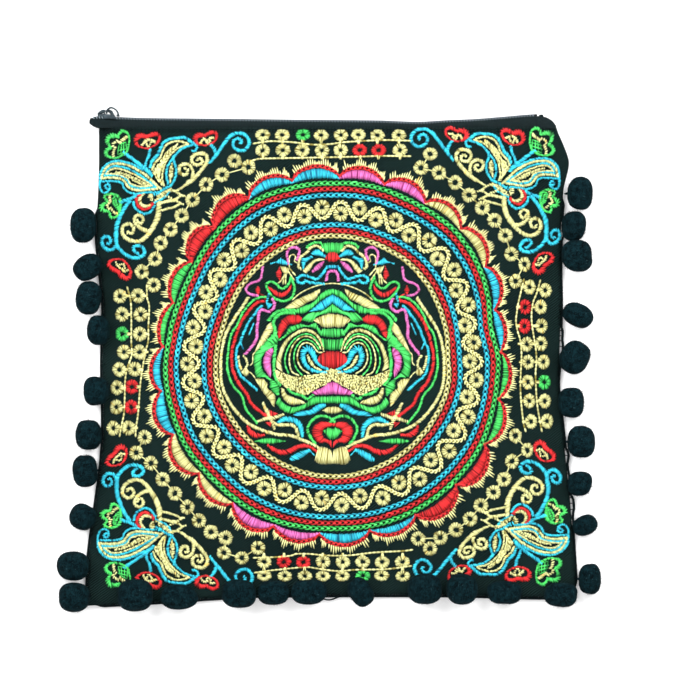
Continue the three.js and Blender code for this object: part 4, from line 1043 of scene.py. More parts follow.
# Left half of the middle motif, mirrored for the right: satin between two edges, seeds in the moustache
moustache = (
    "275.1,369.4 285.4,373.7 295.8,376.3 309.5,375 319,373.7 328.5,369.4 332.5,369",
    "277.7,379.8 285.4,386.6 294,391 305.2,395.3 313,391 325.9,384.1 332.5,380")
middleFills = [
    # cap
    ("green", "321,243.4 326,242.8 332.5,242.7", "323.5,251 327,253.4 332.5,252"),
    ("blue", "311.1,253.6 313.2,250.8 318.2,249.7 322.4,252.2 326.2,256", "314.6,255.4 319.6,256"
     " 324.5,257.5"),
    ("blue", "302.7,269.4 301.3,259.2 305.5,258.2 311.1,255.4", "304.1,266.6 306.9,261.7 313.2,257.5"),
    ("gold", "302.7,270.8 308.3,264.5 314.6,259.6 321,258.5 325.2,259.6", "306.9,273.2 311.1,268.7"
     " 313.9,263.1 319.6,260.3"),
    ("red", "325.2,258.2 328,253.2 331.5,251.5 332.5,253.6", "325.8,259 328.5,261.5 332.5,262"),
    ("pink", "312,271 317,264.5 323.5,261", "313,273 320,269 324.5,262.5"),
    ("blue", "326.6,265.2 332.5,265.2", "326.6,268.7 332.5,268.7"),
    ("blue", "270.8,263 277,261.5 281,258 284,260 291.5,264", "271,264.6 276,262.8 281.7,264.6 287,265"
     " 291.5,265.3"),
    ("gold", "281,266 289,268", "284,273 287,275"),
    ("red", "279.6,266.6 276,274.3 279.6,280.3", "280,266.8 281.7,275 280,280.3"),
    # bird
    ("red", "268.7,286.6 278.2,291.8 283,292.5 288,289 291.1,284.8", "270.4,290.4 276,296 281.7,297.5"
     " 286.6,295.4 290.1,291.1"),
    ("red", "258,286 255.6,290.4 258,294.8", "258.4,286 260.8,290.4 258.4,294.8"),
    ("blue", "266.2,302.4 272.5,303.8", "266.5,304 267.6,308.7"),
    # upper leaf
    ("gold", "284.5,308 292.9,301.7 300.6,297.5 311.1,293.2 319.6,289", "292.9,308.3 299.9,307.3"
     " 308.3,302.4 315.4,298.9 318.9,293.2"),
    ("green", "332.5,289 325.9,290.4 320.3,294.6 313.2,302.4 302.7,306.6 294.3,310", "332.5,294 325.2,297.5"
     " 318.2,302.4 309.7,310 303.4,313.6 294.3,312.9"),
    ("blue", "332.5,294.5 330.8,295.4 323.8,299.6 316.1,305.9 309.4,311.1", "332.5,302.6 329.4,305.2"
     " 322.4,310.1 313.9,310.8"),
    ("green", "309.7,313 322.4,311.1 329.4,306.6 332.5,303.8", "301.3,320.6 311.8,322.4 312.5,319.2"
     " 318.2,315.7 325.9,313.6 332.5,312.4"),
    ("gold", "313.2,319.6 320.3,316.4 328,313.9 332.5,313.6", "318.2,322.7 322.4,326.9 329.4,327.6"
     " 332.5,327"),
    ("red", "302,317.8 297.8,315 290.1,315 284.5,317.8 279.6,324.1 277.5,333.2 278.2,338.5", "300.6,322"
     " 295.7,324.1 288.7,324.8 285.2,329.7 281,336"),
    ("green", "278.2,340.2 285.2,334.6 290.1,326.9 299.9,324.1 308.3,325.5 315.4,322.7 318.2,326.9"
     " 322.4,331.8", "281,340 288,335 294.3,331.1 305.5,326.9 315.4,329 320.3,335.4"),
    # forehead
    ("green", "322.4,328.5 327,328.8 332.5,328.5", "321.5,336 327,337 332.5,337.5"),
    ("green", "322,338.5 327,339 332.5,339.5", "323.5,349 328,350 332.5,350"),
    ("gold", "271.5,322.4 274,328.3 271.1,333.2 263,345.3 255,353", "266.6,327.6 262,336 258.5,344.5"),
    ("green", "266,348 258,350.5 254.4,353.5 254,363.4 255.3,372.9 257,377.2 264.8,377.2 269.9,381.5"
     " 270.4,388.4 276.8,395.3", "277.7,343.6 271.6,347.9 263.9,353.9 261.3,363.4 263,370.3 269.9,378"
     " 275.1,381.5 279.4,386.6 279.4,394.4"),
    ("green", "274,330 270,337 264,343 258,349", "278.5,339 277.5,342 273,346 266,349"),
    ("pink", "271.6,347.5 267.3,349.6 263.5,358.2 263.9,366.9 267.3,373.7 270.4,377.6", "273.4,352.2"
     " 270.8,360 270.8,369.4"),
    ("gold", "255.3,378.5 263,378.9 267.3,383.2 267.3,387.5 275.1,395.3 274.7,406.4", "259.6,385.8"
     " 264.8,394.4 271.6,403"),
    ("gold", "241.5,372 245.8,367.7 250,372", "241.5,372.5 245.8,376.3 250,372.5"),
    # outer band of the swirl
    ("gold", "276,366.9 276.8,359.1 279.4,351.4 282.8,343.6 290.1,336 297.1,331.1 305.5,328.6 313.9,331.1"
     " 319.6,337.1 322.9,343.1 324.4,351", "282.8,371.2 281.1,363.4 282.8,353.9 286.7,344.7 292.2,337.7"
     " 298.4,334 305.5,331.9 313,333.9 318.2,339.2 321.5,346 323.4,352"),
    # nose
    ("red", "317.7,360 320,355 325,351.8 332.5,351", "317.7,360.5 320,365 325,368.2 332.5,369"),
    ("pink", "311.2,391.8 323.3,386.6 326.7,383.2 332.5,381.5", "315.5,394.8 324,394.6 332.5,394.2"),
    ("green", "279.4,397 283.7,403 290.6,406.5 297.5,406.5 306.1,403 313.8,397 332.5,396.3", "276,403.9"
     " 282,409.9 288.9,413.3 294.9,412.5 305.2,408.2 316.4,403.9 332.5,403"),
    ("gold", "281.1,388.4 282,395.3 286.3,402.1 293.2,404.7 305.2,403.4", "283.7,388.4 287.1,394.4"
     " 294.9,397.8 301.8,400.4"),
    ("blue", "293.2,415 299.2,411.6 309.5,409.9 317.3,404.7 325,403.4", "300.1,415.9 313,414.2 319.9,409.9"
     " 325.9,406.5"),
    ("gold", "323.3,410 327,407 332.5,406.6", "323.3,410.5 327,413 332.5,413.4"),
    # heart
    ("red", "332.5,423.5 327.6,421.9 320.7,421.9 314.7,425.4 312.1,430.5 313.8,437.4 319,442.6 326.7,442.6"
     " 331.9,447.8", "332.5,426 331,426.2 325,428 322.4,431.4 324.2,437.4 331,440.9"),
    ("green", "323.7,430.5 329.3,427.5 332.5,429", "323.7,431.5 328,437.5 331.9,439.6"),
    ("gold", "318.1,447.8 323.3,446.5 330.2,449.5 331.5,451.6", "315.1,460.7 319,464.1 326,464"
     " 332.5,463.7"),
    ("red", "269.9,409.9 277.7,413.3", "270.8,417.6 277.7,413.8"),
    ("red", "264.8,421.9 271.6,421.9", "270.6,427.1 272,423"),
    ("green", "255.3,440.9 265,438.3 275,438.5 285.4,440.9", "255.3,441.2 265,443.5 275,443.3 285.4,441.2")]
middleRopes = [
    ("green", 2.6, "306.9,247.6 309.7,244.8 315.4,242.7 321,243.4"),
    ("gold", 2.4, "300.6,268.7 298.5,267.3 298.9,261.7 301.3,256.8 306.9,252.5 310.4,248.3 316.1,245.9"
     " 320.3,247.6 323.4,251.1"),
    ("blue", 2.6, "325.9,268.7 321.7,275 316.8,279.2 311.1,277.8 305.5,275.7 299.9,276.4 297.1,279.9"
     " 299.2,283.1 304.1,282.7 304.8,280.6 309.7,282.7 315.4,283.4 323.8,284.1"),
    ("pink", 2.6, "326.6,280.6 327.3,275 329.4,271.5 332.5,271.3"),
    ("pink", 2.6, "288.7,263.8 286.9,253.2 290,248.7 295,247.6 299.2,250.4 298.5,256.8 296.9,259.9"),
    ("gold", 1.5, "289.4,268 289.4,258.2 291.5,255 294.3,255 295.7,257.5 294.3,261 297.1,263.1"),
    ("gold", 1.8, "289,268 295.7,275.7"),
    ("gold", 1.8, "288,271 294.5,280.5"),
    ("gold", 1.8, "286,274 285.5,284.5"),
    ("gold", 1.8, "284.5,274 283,284.5"),
    ("gold", 1.8, "284,276 281,281 278,283.4"),
    ("green", 2.2, "290.8,277.1 289.4,282.7 285.9,286.9 283,288.7 279.6,287.6 275.4,283.4 269.7,282"
     " 266.2,284.8 267.6,289.7 271.8,295.4 276.8,299.6 283,301.3 288,300.3 292.2,296.8 294.3,291.1"
     " 294.3,285.5 291.5,279.2"),
    ("red", 1.6, "260,294 265.5,296.8 264.8,300.3"),
    ("pink", 2.2, "262.7,267.6 262,273 261.3,277.8 257.8,281.3 250,284 246,289.6 250,294 258,296"),
    ("green", 2.1, "266,297 258,298 250.6,303 243,312.6 237,325.6 231.2,335 228.2,352.2 227.7,369.4"
     " 232.9,384.9 241.5,395.3 245.8,408.2 252.7,417.6 257.4,423.2"),
    ("red", 3, "265,301 257,303 249,311 241,323 236.4,335 232.1,352.2 232.5,367.7 238.1,382.3 246.7,393.5"
     " 251.8,403.9 259.6,410.8 266.5,415.9"),
    ("gold", 3, "248,298 243,306 232,322.5 225.6,335 221.7,352.2 220.9,369.4 222.6,386.6 228.6,400.4"
     " 237.2,412.5 246.7,421.9 258.7,428.8 276,434 291.4,435.7 302.6,440 313,444.3 319,447.8"),
    ("blue", 2.2, "269,294 267,301"),
    ("blue", 2.4, "262,305.9 257.8,309.4 255,314.3 250.6,319.5 245,330 240.2,342.7 237.2,347.9 236.4,357.4"
     " 237.6,367.7 241.5,376.3 247.5,381.5 257,389.7"),
    ("blue", 1.8, "254,323 249,335"),
    ("blue", 1.8, "240.7,342.7 243.7,349.6"),
    ("pink", 2.8, "272.5,298.9 274.6,303.8 273.2,308.7 268.3,311.8 262,309.4 259.2,312.9 258.5,319.2"
     " 257.1,326.9 257,336.7 253.6,344.5 245.8,353.9"),
    ("gold", 1.6, "292.2,300.3 298.5,294.6 305.5,290.4 314.6,286.6 322.4,284.5 332.5,283.4"),
    ("green", 3, "294.3,310 285.9,310 278.2,311.5 272.5,315.7 269,320.3"),
    ("green", 3.4, "294.3,312.9 283,312.9 276,317.8 273.2,323.4 275.4,329.7 274.6,336 269,340.2"),
    ("green", 3, "276,346.2 274.2,359.1 274.2,366.9 275.1,376.3 280.3,384.9"),
    ("gold", 2.2, "238.5,356.5 239.4,363.4 241.5,369.4"),
    ("gold", 2.2, "243.7,356.1 246.7,360 247.5,365.1 245.8,368.6"),
    ("gold", 1.4, "250.1,365.6 252.7,362.5 253.1,354.8 255.3,352.2"),
    ("gold", 1.4, "250.1,372 252.7,374.6 255.3,378"),
    ("green", 1.9, "288.9,373.7 285.4,365.1 285.4,356.5 288.5,347.4 294,339.8 299.6,335.8 306,334"
     " 312.3,335.6 317.2,341 320.4,347"),
    ("gold", 1.9, "299.2,375.5 292.3,372 289.7,364.3 289.7,355.7 292.6,346.2 298.6,338.9 306.1,336.3"
     " 313.4,338.8 318.8,345 321,349.4"),
    ("green", 1.8, "302.6,375.5 296.6,368.6 294,360 295.2,350 300.2,342.2 306.1,339.5 312.6,341.8"
     " 317.2,346.8 319,350"),
    ("gold", 1.9, "309.5,373.7 302.6,369.4 298.3,362.5 297.5,354.8 300.6,345.8 306.1,342.8 312.1,344.8"
     " 316.4,350.4 318.6,352.4 322.6,352.4"),
    ("blue", 4, "326.4,372.4,2.4 315.8,371.2,2.8 309.7,368.7,3.6 305.3,364,4.2 303.3,358.4,5"
     " 303.6,352.8,5.6 306,349,6.6 309,349,6.6 312.6,352.8,5.8 315,358.4,4.6 317.1,362.3,3.2"
     " 321.4,366.5,2.7 327.6,369.2,2.3"),
    ("gold", 3, "307.8,355.8,1.8 309,359,3.2 311.5,363.4,2.8 314.6,367,2.2 320.8,370,1.4"),
    ("green", 2.6, "288,388.4 292.3,392.7 301.8,395.3 306.9,399.1 313,395.3"),
    ("green", 2.5, "334.5,421.9 331,418.5 323.3,415.9 315.5,417.6 309.5,423.7 307.8,430.5 311.2,438.3"
     " 315.5,443.5"),
    ("gold", 3, "263,403.4,2.6 267,411,3.6 270.4,417.6,4.4"),
    ("gold", 3, "257.9,421.5,2.4 264,419.4,3.2 269.9,417.6,4.4"),
    ("gold", 3, "271.6,418.5,4.4 277,416.6,3.4 283.3,414.2,2.4"),
    ("gold", 3, "270.8,418.5,4 273,424,3.2 274.7,428.8,2.4"),
    ("blue", 5, "277.7,422.8,2.6 283.7,419.4,4.6 290.6,419.4,5.2 296.6,421.9,5.2 300.9,427.1,5"
     " 302.6,436.6,3"),
    ("gold", 3.2, "275.1,423.7 283.7,425 290.6,424.5 295.8,428 298.3,435.7"),
    ("red", 3, "247.5,426.2,2.4 250.1,431.4,4.8 254.4,434.6,5 259,435.2,3.6 263.9,434.9,2"),
    ("red", 4, "268.2,445.2,2 275.1,450.3,4.2 282.8,452.3,5 290.6,450.6,4.6 297.5,446.9,4 304.4,445.6,3.6"
     " 310.4,446.9,3 316.4,451.2,2.2"),
    ("blue", 5, "291.4,459.8,3.4 295,457.6,6 300,454.9,6.6 305,452.2,5 309.5,449.9,2.6"),
    ("blue", 1.5, "309.5,449.9 314.7,455.5")]
thinnestCord = 2  # a narrower line is a running stitch


# Places from text on the left half, or mirrored to the right one
def onHalf(text, facing):
    places = points(text)
    places[:, 0] = chart["middleX"] + facing * (places[:, 0] - chart["middleX"])
    return places


for facing in (1, -1):
    seeds("gold", *(onHalf(edge, facing) for edge in moustache))
    for thread, edgeA, edgeB in middleFills:
        fill(thread, onHalf(edgeA, facing), onHalf(edgeB, facing))
    for thread, width, line in middleRopes:
        stitch = run if width < thinnestCord else rope
        stitch(thread, width, onHalf(line, facing))

for thread, parts in threads.items():
    slot = "braid" if thread == "black" else thread.split("_")[0] + "_thread"
    addParts("embroidery_" + thread, parts, slot)


# Round cord along a path: a ring of corners at each place, closed at both ends
def tube(path, radius, sides, up, shade=0.5):
    heading = unit(np.gradient(path, axis=0))
    out = unit(np.cross(heading, up))
    top = np.cross(out, heading)
    angle = 2 * np.pi * np.arange(sides) / sides
    ring = out[:, None] * np.cos(angle)[:, None] + top[:, None] * np.sin(angle)[:, None]
    corners = path[:, None] + radius * ring
    numbers = np.arange(len(path) * sides).reshape(-1, sides)
    faces = [gridFaces(len(path), sides, True), numbers[:1], numbers[-1:, ::-1]]
    uv = np.stack(np.broadcast_arrays(lengthAlong(path)[:, None], np.arange(sides) * 2 / sides), -1)
    return corners.reshape(-1, 3), faces, uv.reshape(-1, 2), np.full(len(path) * sides, shade)


# Zip. Top line of the teeth: place, ridge, height of the zip's middle
zipRows = np.array([
    (-130, 129.6, 5.55), (-128.4, 130.9, 5.55), (-125, 131.3, 5.55), (-115, 131, 5.55), (-97, 130.5, 5.55),
    (-57, 130.1, 5.55), (-16, 129.6, 5.55), (27, 129.2, 5.55), (48, 128.5, 5.55), (63, 129.3, 5.55),
    (79, 130, 5.55), (94, 131.2, 5.55), (110, 132.5, 5.5), (116, 132.3, 5), (120, 130.4, 4),
    (122.4, 127.6, 3)]).T
tapeRows = np.array([  # tapes: place, lower edge, spread from the middle
    (-129.4, 127.6, 2.7), (-127.4, 126.2, 3), (-125, 125.2, 3.3), (-108, 125, 3.65), (-104, 117.5, 3.65),
    (109, 117.5, 3.65), (112.4, 125, 3.65), (119, 125, 1.9), (122.4, 125, 1.2)]).T
partRows = np.array([(-128, 1.05), (-121.6, 1.05), (-117.4, 0.15), (113, 0.15)]).T  # half chain's inner face
zipEnds = dict(left=-128, right=113)  # of the teeth
tape = dict(wall=0.8, drop=1.35, lip=0.5, hem=0.8, start=0.4, fold=1.5, endFold=0.45, gap=0.3, slack=0.4,
            freeLeft=-106, freeRight=112, bendDown=0.3, bendOut=0.6, soft=0.6, probe=0.5, places=260,
            steps=21)
ridge = curveThrough(zipRows[0], zipRows[1])
zipMiddle = curveThrough(zipRows[0], zipRows[2])


# Distance from the zip's middle to a half chain: wider where the slider has opened it
def chainPart(x):
    return np.interp(x, partRows[0], partRows[1])


# Height of a tape's middle behind the front panel, or on the back one
def tapeHeight(x, y, facing):
    clear = panels["wall"] + tape["gap"] + tape["wall"] / 2
    if facing < 0:
        return np.full_like(x, clear)
    inside, reach = np.minimum(y, panels["top"]), tape["probe"]
    slopeX = (frontHeight(x + reach, inside) - frontHeight(x - reach, inside)) / (2 * reach)
    slopeY = (frontHeight(x, inside) - frontHeight(x, inside - reach)) / reach
    return frontHeight(x, inside) - clear * np.sqrt(1 + slopeX**2 + slopeY**2) - tape["slack"]


# Tape: five bends from under the teeth, over and down behind the panel's edge, rounded and given its wall
def zipTape(name, node, facing):
    x = np.linspace(tapeRows[0, 0], tapeRows[0, -1], tape["places"])
    height, top = zipMiddle(x), ridge(x) - tape["drop"]
    low, spread = (np.interp(x, tapeRows[0], tapeRows[k]) for k in (1, 2))
    edge = np.maximum(panels["top"] + tape["lip"], low + tape["hem"])
    isFree = (x < tape["freeLeft"]) | (x > tape["freeRight"])
    free = np.maximum(facing * spread, tapeHeight(x, edge, -1) - height)
    edgeOut = np.where(isFree, free, tapeHeight(x, edge, facing) - height)
    lowOut = np.where(isFree, free, tapeHeight(x, low, facing) - height)
    fold = np.where(x > zipEnds["right"], tape["endFold"], 1) * tape["fold"]
    bend = facing * (chainPart(x) + fold)
    down = top + tape["bendDown"] * (edge - top)
    bends = np.stack([
        np.stack([top, height + facing * (chainPart(x) + tape["start"])], -1),
        np.stack([top, height + bend], -1),
        np.stack([down, height + bend + tape["bendOut"] * (edgeOut - bend)], -1),
        np.stack([edge, height + edgeOut], -1), np.stack([low, height + lowOut], -1)], 1)
    t = np.linspace(0, 4, tape["steps"])
    i = np.minimum(t.astype(int), 3)
    f = (t - i)[:, None]
    slopeFrom, slopeTo = (np.gradient(bends, axis=1)[:, k] * tape["soft"] for k in (i, i + 1))
    ends = bends[:, i] * (1 - f) ** 2 * (1 + 2 * f) + bends[:, i + 1] * f**2 * (3 - 2 * f)
    profile = ends + slopeFrom * f * (1 - f) ** 2 - slopeTo * f**2 * (1 - f)
    middle = np.concatenate([np.broadcast_to(x[:, None, None], (*profile.shape[:2], 1)), profile], -1)
    away = gridNormals(middle) * tape["wall"] / 2
    addPiece(name, [middle + away, middle - away], wallFaces(*middle.shape[:2]), "zip_tape", [node])


# Half chain: a flattened coil of nylon round a cord, a turn to a tooth, that steps on where the tape hides
# it; its upper side is painted pale as a highlight and the back half is painted dark as its shade
coil = dict(high=1.9, wide=1.9, pitch=1.55, wire=0.3, lean=0.1, rise=0.4, hold=0.9, steps=12, sides=6,
            backShade=0.1)
core = dict(radius=0.62, drop=0.25, places=160, sides=8, shade=0.0)


def zipCoil(name, node, facing):
    pitch, wire, high, wide = (coil[key] for key in ("pitch", "wire", "high", "wide"))
    turns = int((zipEnds["right"] - zipEnds["left"]) / pitch) - 1
    angle = np.linspace(0, 2 * np.pi * turns, turns * coil["steps"] + 1)
    x = zipEnds["left"] + pitch / 2 + pitch / (2 * np.pi) * (angle - coil["hold"] * np.sin(angle))
    x = x + (0 if facing > 0 else pitch / 2)  # the halves mesh
    y = ridge(x) + coil["rise"] - high / 2 + (high / 2 - wire) * np.cos(angle)
    y = y - (coil["lean"] if facing < 0 else 0)
    z = zipMiddle(x) + facing * (chainPart(x) + wide / 2) + (wide / 2 - wire) * np.sin(angle)
    wound = tube(np.stack([x, y, z], -1), wire, coil["sides"], (1, 0, 0))
    # Painted highlight on the coil's upper side, and painted shade on the back half
    shade = (0.5 + 0.5 * np.sin(angle)) * (1 if facing > 0 else coil["backShade"])
    x = np.linspace(x[0], x[-1], core["places"])
    y = ridge(x) + coil["rise"] - core["drop"] - core["radius"]
    line = np.stack([x, y, zipMiddle(x) + facing * (chainPart(x) + wide / 2)], -1)
    filler = tube(line, core["radius"], core["sides"], (0, 1, 0), core["shade"])
    addParts(name, [(*wound[:3], np.repeat(shade, coil["sides"])), filler], "zip_coil", [node])


# Angles up and round a ball, row by row from its lower pole
def ballAngles(rows, columns):
    turns = 2 * np.pi * np.arange(columns) / columns
    return np.meshgrid(np.linspace(-np.pi / 2, np.pi / 2, rows), turns, indexing="ij")


# Closes a ball's grid: the first and the last row of corners become one corner each
def closedBall(grid):
    rows, columns = grid.shape[:2]
    inner = grid[1:-1].reshape(-1, 3)
    numbers = np.arange(len(inner)).reshape(rows - 2, columns)
    south, north = len(inner), len(inner) + 1
    quads = gridFaces(rows - 2, columns, True)[:, ::-1]
    first, last = numbers[0], numbers[-1]
    bottom = np.stack([np.full(columns, south), np.roll(first, -1), first], -1)
    top = np.stack([np.full(columns, north), last, np.roll(last, -1)], -1)
    return np.vstack([inner, grid[0, :1], grid[-1, :1]]), [quads, bottom, top]


# Rounds a square: pushes sines and cosines outwards, towards one
pad = dict(blunt=0.45, rows=15, columns=24)


def blunt(value):
    return np.sign(value) * np.abs(value) ** pad["blunt"]


# Folded end of the tapes: a pad with round edges that fills its node's box
def zipEnd(name, node):
    low, high = (np.array(corner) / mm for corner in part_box(node))
    up, turn = ballAngles(pad["rows"], pad["columns"])
    wide = blunt(np.cos(up))
    rays = np.stack([wide * blunt(np.cos(turn)), wide * blunt(np.sin(turn)), blunt(np.sin(up))], -1)
    addPiece(name, *closedBall((low + high) / 2 + rays * (high - low) / 2), "zip_tape", [node])


zipTape("zip_tape_front_cloth", "zip_tape_front", 1)
zipTape("zip_tape_back_cloth", "zip_tape_back", -1)
zipCoil("zip_coil_front", "zip_teeth_front", 1)
zipCoil("zip_coil_back", "zip_teeth_back", -1)
zipEnd("zip_fold_left", "zip_end_left")
zipEnd("zip_fold_right", "zip_end_right")

# Cast bars: corners round the section, then how far, how narrow and how much thinner their tips are
cast = dict(corners=12, tip=0.12, narrow=0.75, thinner=0.2)


# Flat bar between two lines, with a round-cornered section; its ends are closed, or joined to each other
def bar(inner, outer, low, high, joined=False):
    middle, half = np.add(inner, outer) / 2, np.subtract(outer, inner) / 2
    deep = np.full((len(middle), 1), (high - low) / 2)
    if not joined:
        first = middle[0] - (middle[1] - middle[0]) * cast["tip"]
        last = middle[-1] + (middle[-1] - middle[-2]) * cast["tip"]
        middle = np.vstack([first, middle, last])
        half = np.vstack([half[0] * cast["narrow"], half, half[-1] * cast["narrow"]])
        deep = np.vstack([deep[0] - cast["thinner"], deep, deep[-1] - cast["thinner"]])
    angle = 2 * np.pi * (np.arange(cast["corners"]) + 0.5) / cast["corners"]
    flat = middle[:, None] + half[:, None] * blunt(np.cos(angle))[:, None]
    height = (low + high) / 2 + deep * blunt(np.sin(angle))
    corners = np.concatenate([flat, height[..., None]], -1).reshape(-1, 3)
    numbers = np.arange(len(corners)).reshape(-1, cast["corners"])
    rows = np.vstack([numbers, numbers[:1]]) if joined else numbers
    after = np.roll(rows, -1, 1)
    faces = [np.stack([rows[:-1], rows[1:], after[1:], after[:-1]], -1).reshape(-1, 4)]
    if not joined:
        faces += [rows[:1], rows[-1:, ::-1]]
    p, q, r = (corners[faces[0][:, k]] - corners.mean(0) for k in range(3))
    if np.sum(p * np.cross(q, r)) < 0:  # turns the faces outwards
        faces = [face[:, ::-1] for face in faces]
    return plainPart(corners, faces)


# Slider, from above the zip down: a crown with an eye, its nose, a plate with two flanges, the post, the foot
slider = dict(eye=(-119.69, 133.16), eyeHalf=(1.62, 0.7), tilt=-0.44, crown=1.15, nose=1.1, plate=3.65,
              inset=0.1, flange=0.75, post=0.7, foot=1.5, places=6, turns=48)
crownLine = np.array([
    (-121.47, 130.87), (-121.74, 132.54), (-121.47, 133.89), (-120.77, 134.76), (-119.42, 135.14),
    (-118.02, 135.08), (-117.05, 134.43), (-116.56, 133.25), (-115.86, 131.95), (-115.1, 130.87),
    (-118.34, 130.65)])
noseLow = [(-125.2, 132.65), (-124.2, 132.75), (-123.2, 132.9), (-122.1, 133.1), (-121, 133.4)]
noseHigh = [(-125.05, 133.2), (-124.4, 134.1), (-123.2, 134.9), (-122.1, 135.3), (-121, 135.15)]
flangeHigh = [
    (-121.8, 132.2), (-120.5, 132.6), (-119.1, 132.6), (-117.8, 132.4), (-116.5, 132), (-115.2, 131.2)]
sliderSpans = dict(  # left end, right end, then heights of level edges
    plate=(-121.8, -116.7, 131.5, 132.3), flange=(-121.7, -115.1, 130.1), post=(-125, -121.6, 127.6, 133),
    foot=(-124.1, -116.3, 127.1, 128.1))


# Level edges of a span
def levels(span):
    left, right, *heights = span
    return [[(x, y) for x in np.linspace(left, right, slider["places"])] for y in heights]


# The crown is a ring between the eye's ellipse and the crown's outline; every other part is a bar
def makeSlider():
    middle = float(zipMiddle(slider["eye"][0]))
    turn = np.linspace(0, 2 * np.pi, slider["turns"], endpoint=False)
    ray = np.stack([np.cos(turn), np.sin(turn)], -1)
    away = crownLine - slider["eye"]
    outside = np.interp(turn, np.arctan2(away[:, 1], away[:, 0]), np.hypot(*away.T), period=2 * np.pi)
    wideEye, highEye = slider["eyeHalf"]
    tilted = turn - slider["tilt"]
    eye = wideEye * highEye / np.hypot(highEye * np.cos(tilted), wideEye * np.sin(tilted))
    hole, rim = (slider["eye"] + ray * reach[:, None] for reach in (eye, outside))
    flangeLow = levels(sliderSpans["flange"])[0]
    front, back = middle + slider["plate"], middle - slider["plate"]

    def centred(edges, half, joined=False):
        return bar(*edges, middle - half, middle + half, joined)

    parts = [
        centred((hole, rim), slider["crown"], True),
        centred((noseLow, noseHigh), slider["nose"]),
        centred(levels(sliderSpans["plate"]), slider["plate"] - slider["inset"]),
        bar(flangeLow, flangeHigh, front - slider["flange"], front),
        bar(flangeLow, flangeHigh, back, back + slider["flange"]),
        centred(levels(sliderSpans["post"]), slider["post"]),
        centred(levels(sliderSpans["foot"]), slider["foot"])]
    addParts("zip_slider_cast", parts, "zip_metal", ["zip_slider"])


makeSlider()

# Pull: two bowed arms on a pin through the crown's eye, joined by a plate that ends in a roll
pull = dict(pin=0.5, half=2.6, arm=1.3, thick=0.46, plate=0.62, roll=0.62, rollShift=(-0.45, 0.45),
            places=33, pinPlaces=5, sides=12)
pullLine = np.array([
    (-120.2, 133.4), (-119.8, 135), (-118, 136.2), (-115.9, 135.6), (-114.4, 134.1), (-113.7, 132.1),
    (-113.65, 131.55)])


# Arms and plate are bars along the same curve; pin and roll are round bars across it
def makePull():
    middle = float(zipMiddle(pullLine[0, 0]))
    at = lengthAlong(pullLine)
    place = np.linspace(0, at[-1], pull["places"])
    line = np.stack([curveThrough(at, pullLine[:, k])(place) for k in (0, 1)], -1)
    _, side = leftOf(line)
    inner, outer = line - side * pull["thick"], line + side * pull["thick"]
    wide = int(pull["plate"] * len(line))
    depths = middle + np.linspace(-pull["half"], pull["half"], pull["pinPlaces"])
    pin = np.array([(*pullLine[0], z) for z in depths])
    roll = pin + np.array((*(line[-1] - line[0] + pull["rollShift"]), 0))
    parts = [
        bar(inner, outer, middle + pull["arm"], middle + pull["half"]),
        bar(inner, outer, middle - pull["half"], middle - pull["arm"]),
        bar(inner[wide:], outer[wide:], middle - pull["half"], middle + pull["half"]),
        tube(pin, pull["pin"], pull["sides"], (1, 0, 0)), tube(roll, pull["roll"], pull["sides"], (1, 0, 0))]
    addParts("zip_pull_ring", parts, "zip_metal", ["zip_pull"], "pull")


makePull()
print("zip made")

# Braid along three seams: three strands twisted, and overcast stitches from the cloth round it
braid = dict(out=0.7, high=1.35, strand=0.45, offset=0.36, twist=3.4, tuck=14, tuckIn=2.4, sides=5, plies=3,
             shade=0.35, plyShade=0.1)
overcast = dict(stitch=3.3, bite=1.7, stray=0.5, slip=0.8, inward=(1.4, 0.6, -0.1, -0.75, -0.7),
                overCloth=(-0.1, 0.22, 0.1), roundBraid=(2.35, 1.5, 0.7), half=0.26, tones=(0.2, 0.8))
slack = dict(waves=((0.21, 0, 1), (0.083, 1.1, 1), (0.47, 0, 0.6)), least=0.5)  # waves: pace, start, height
seams = dict(left=(84, -130, 430), bottom=(-128, 131, 520), right=(90, -125, 430),  # from, to, places
             loose=1.1)


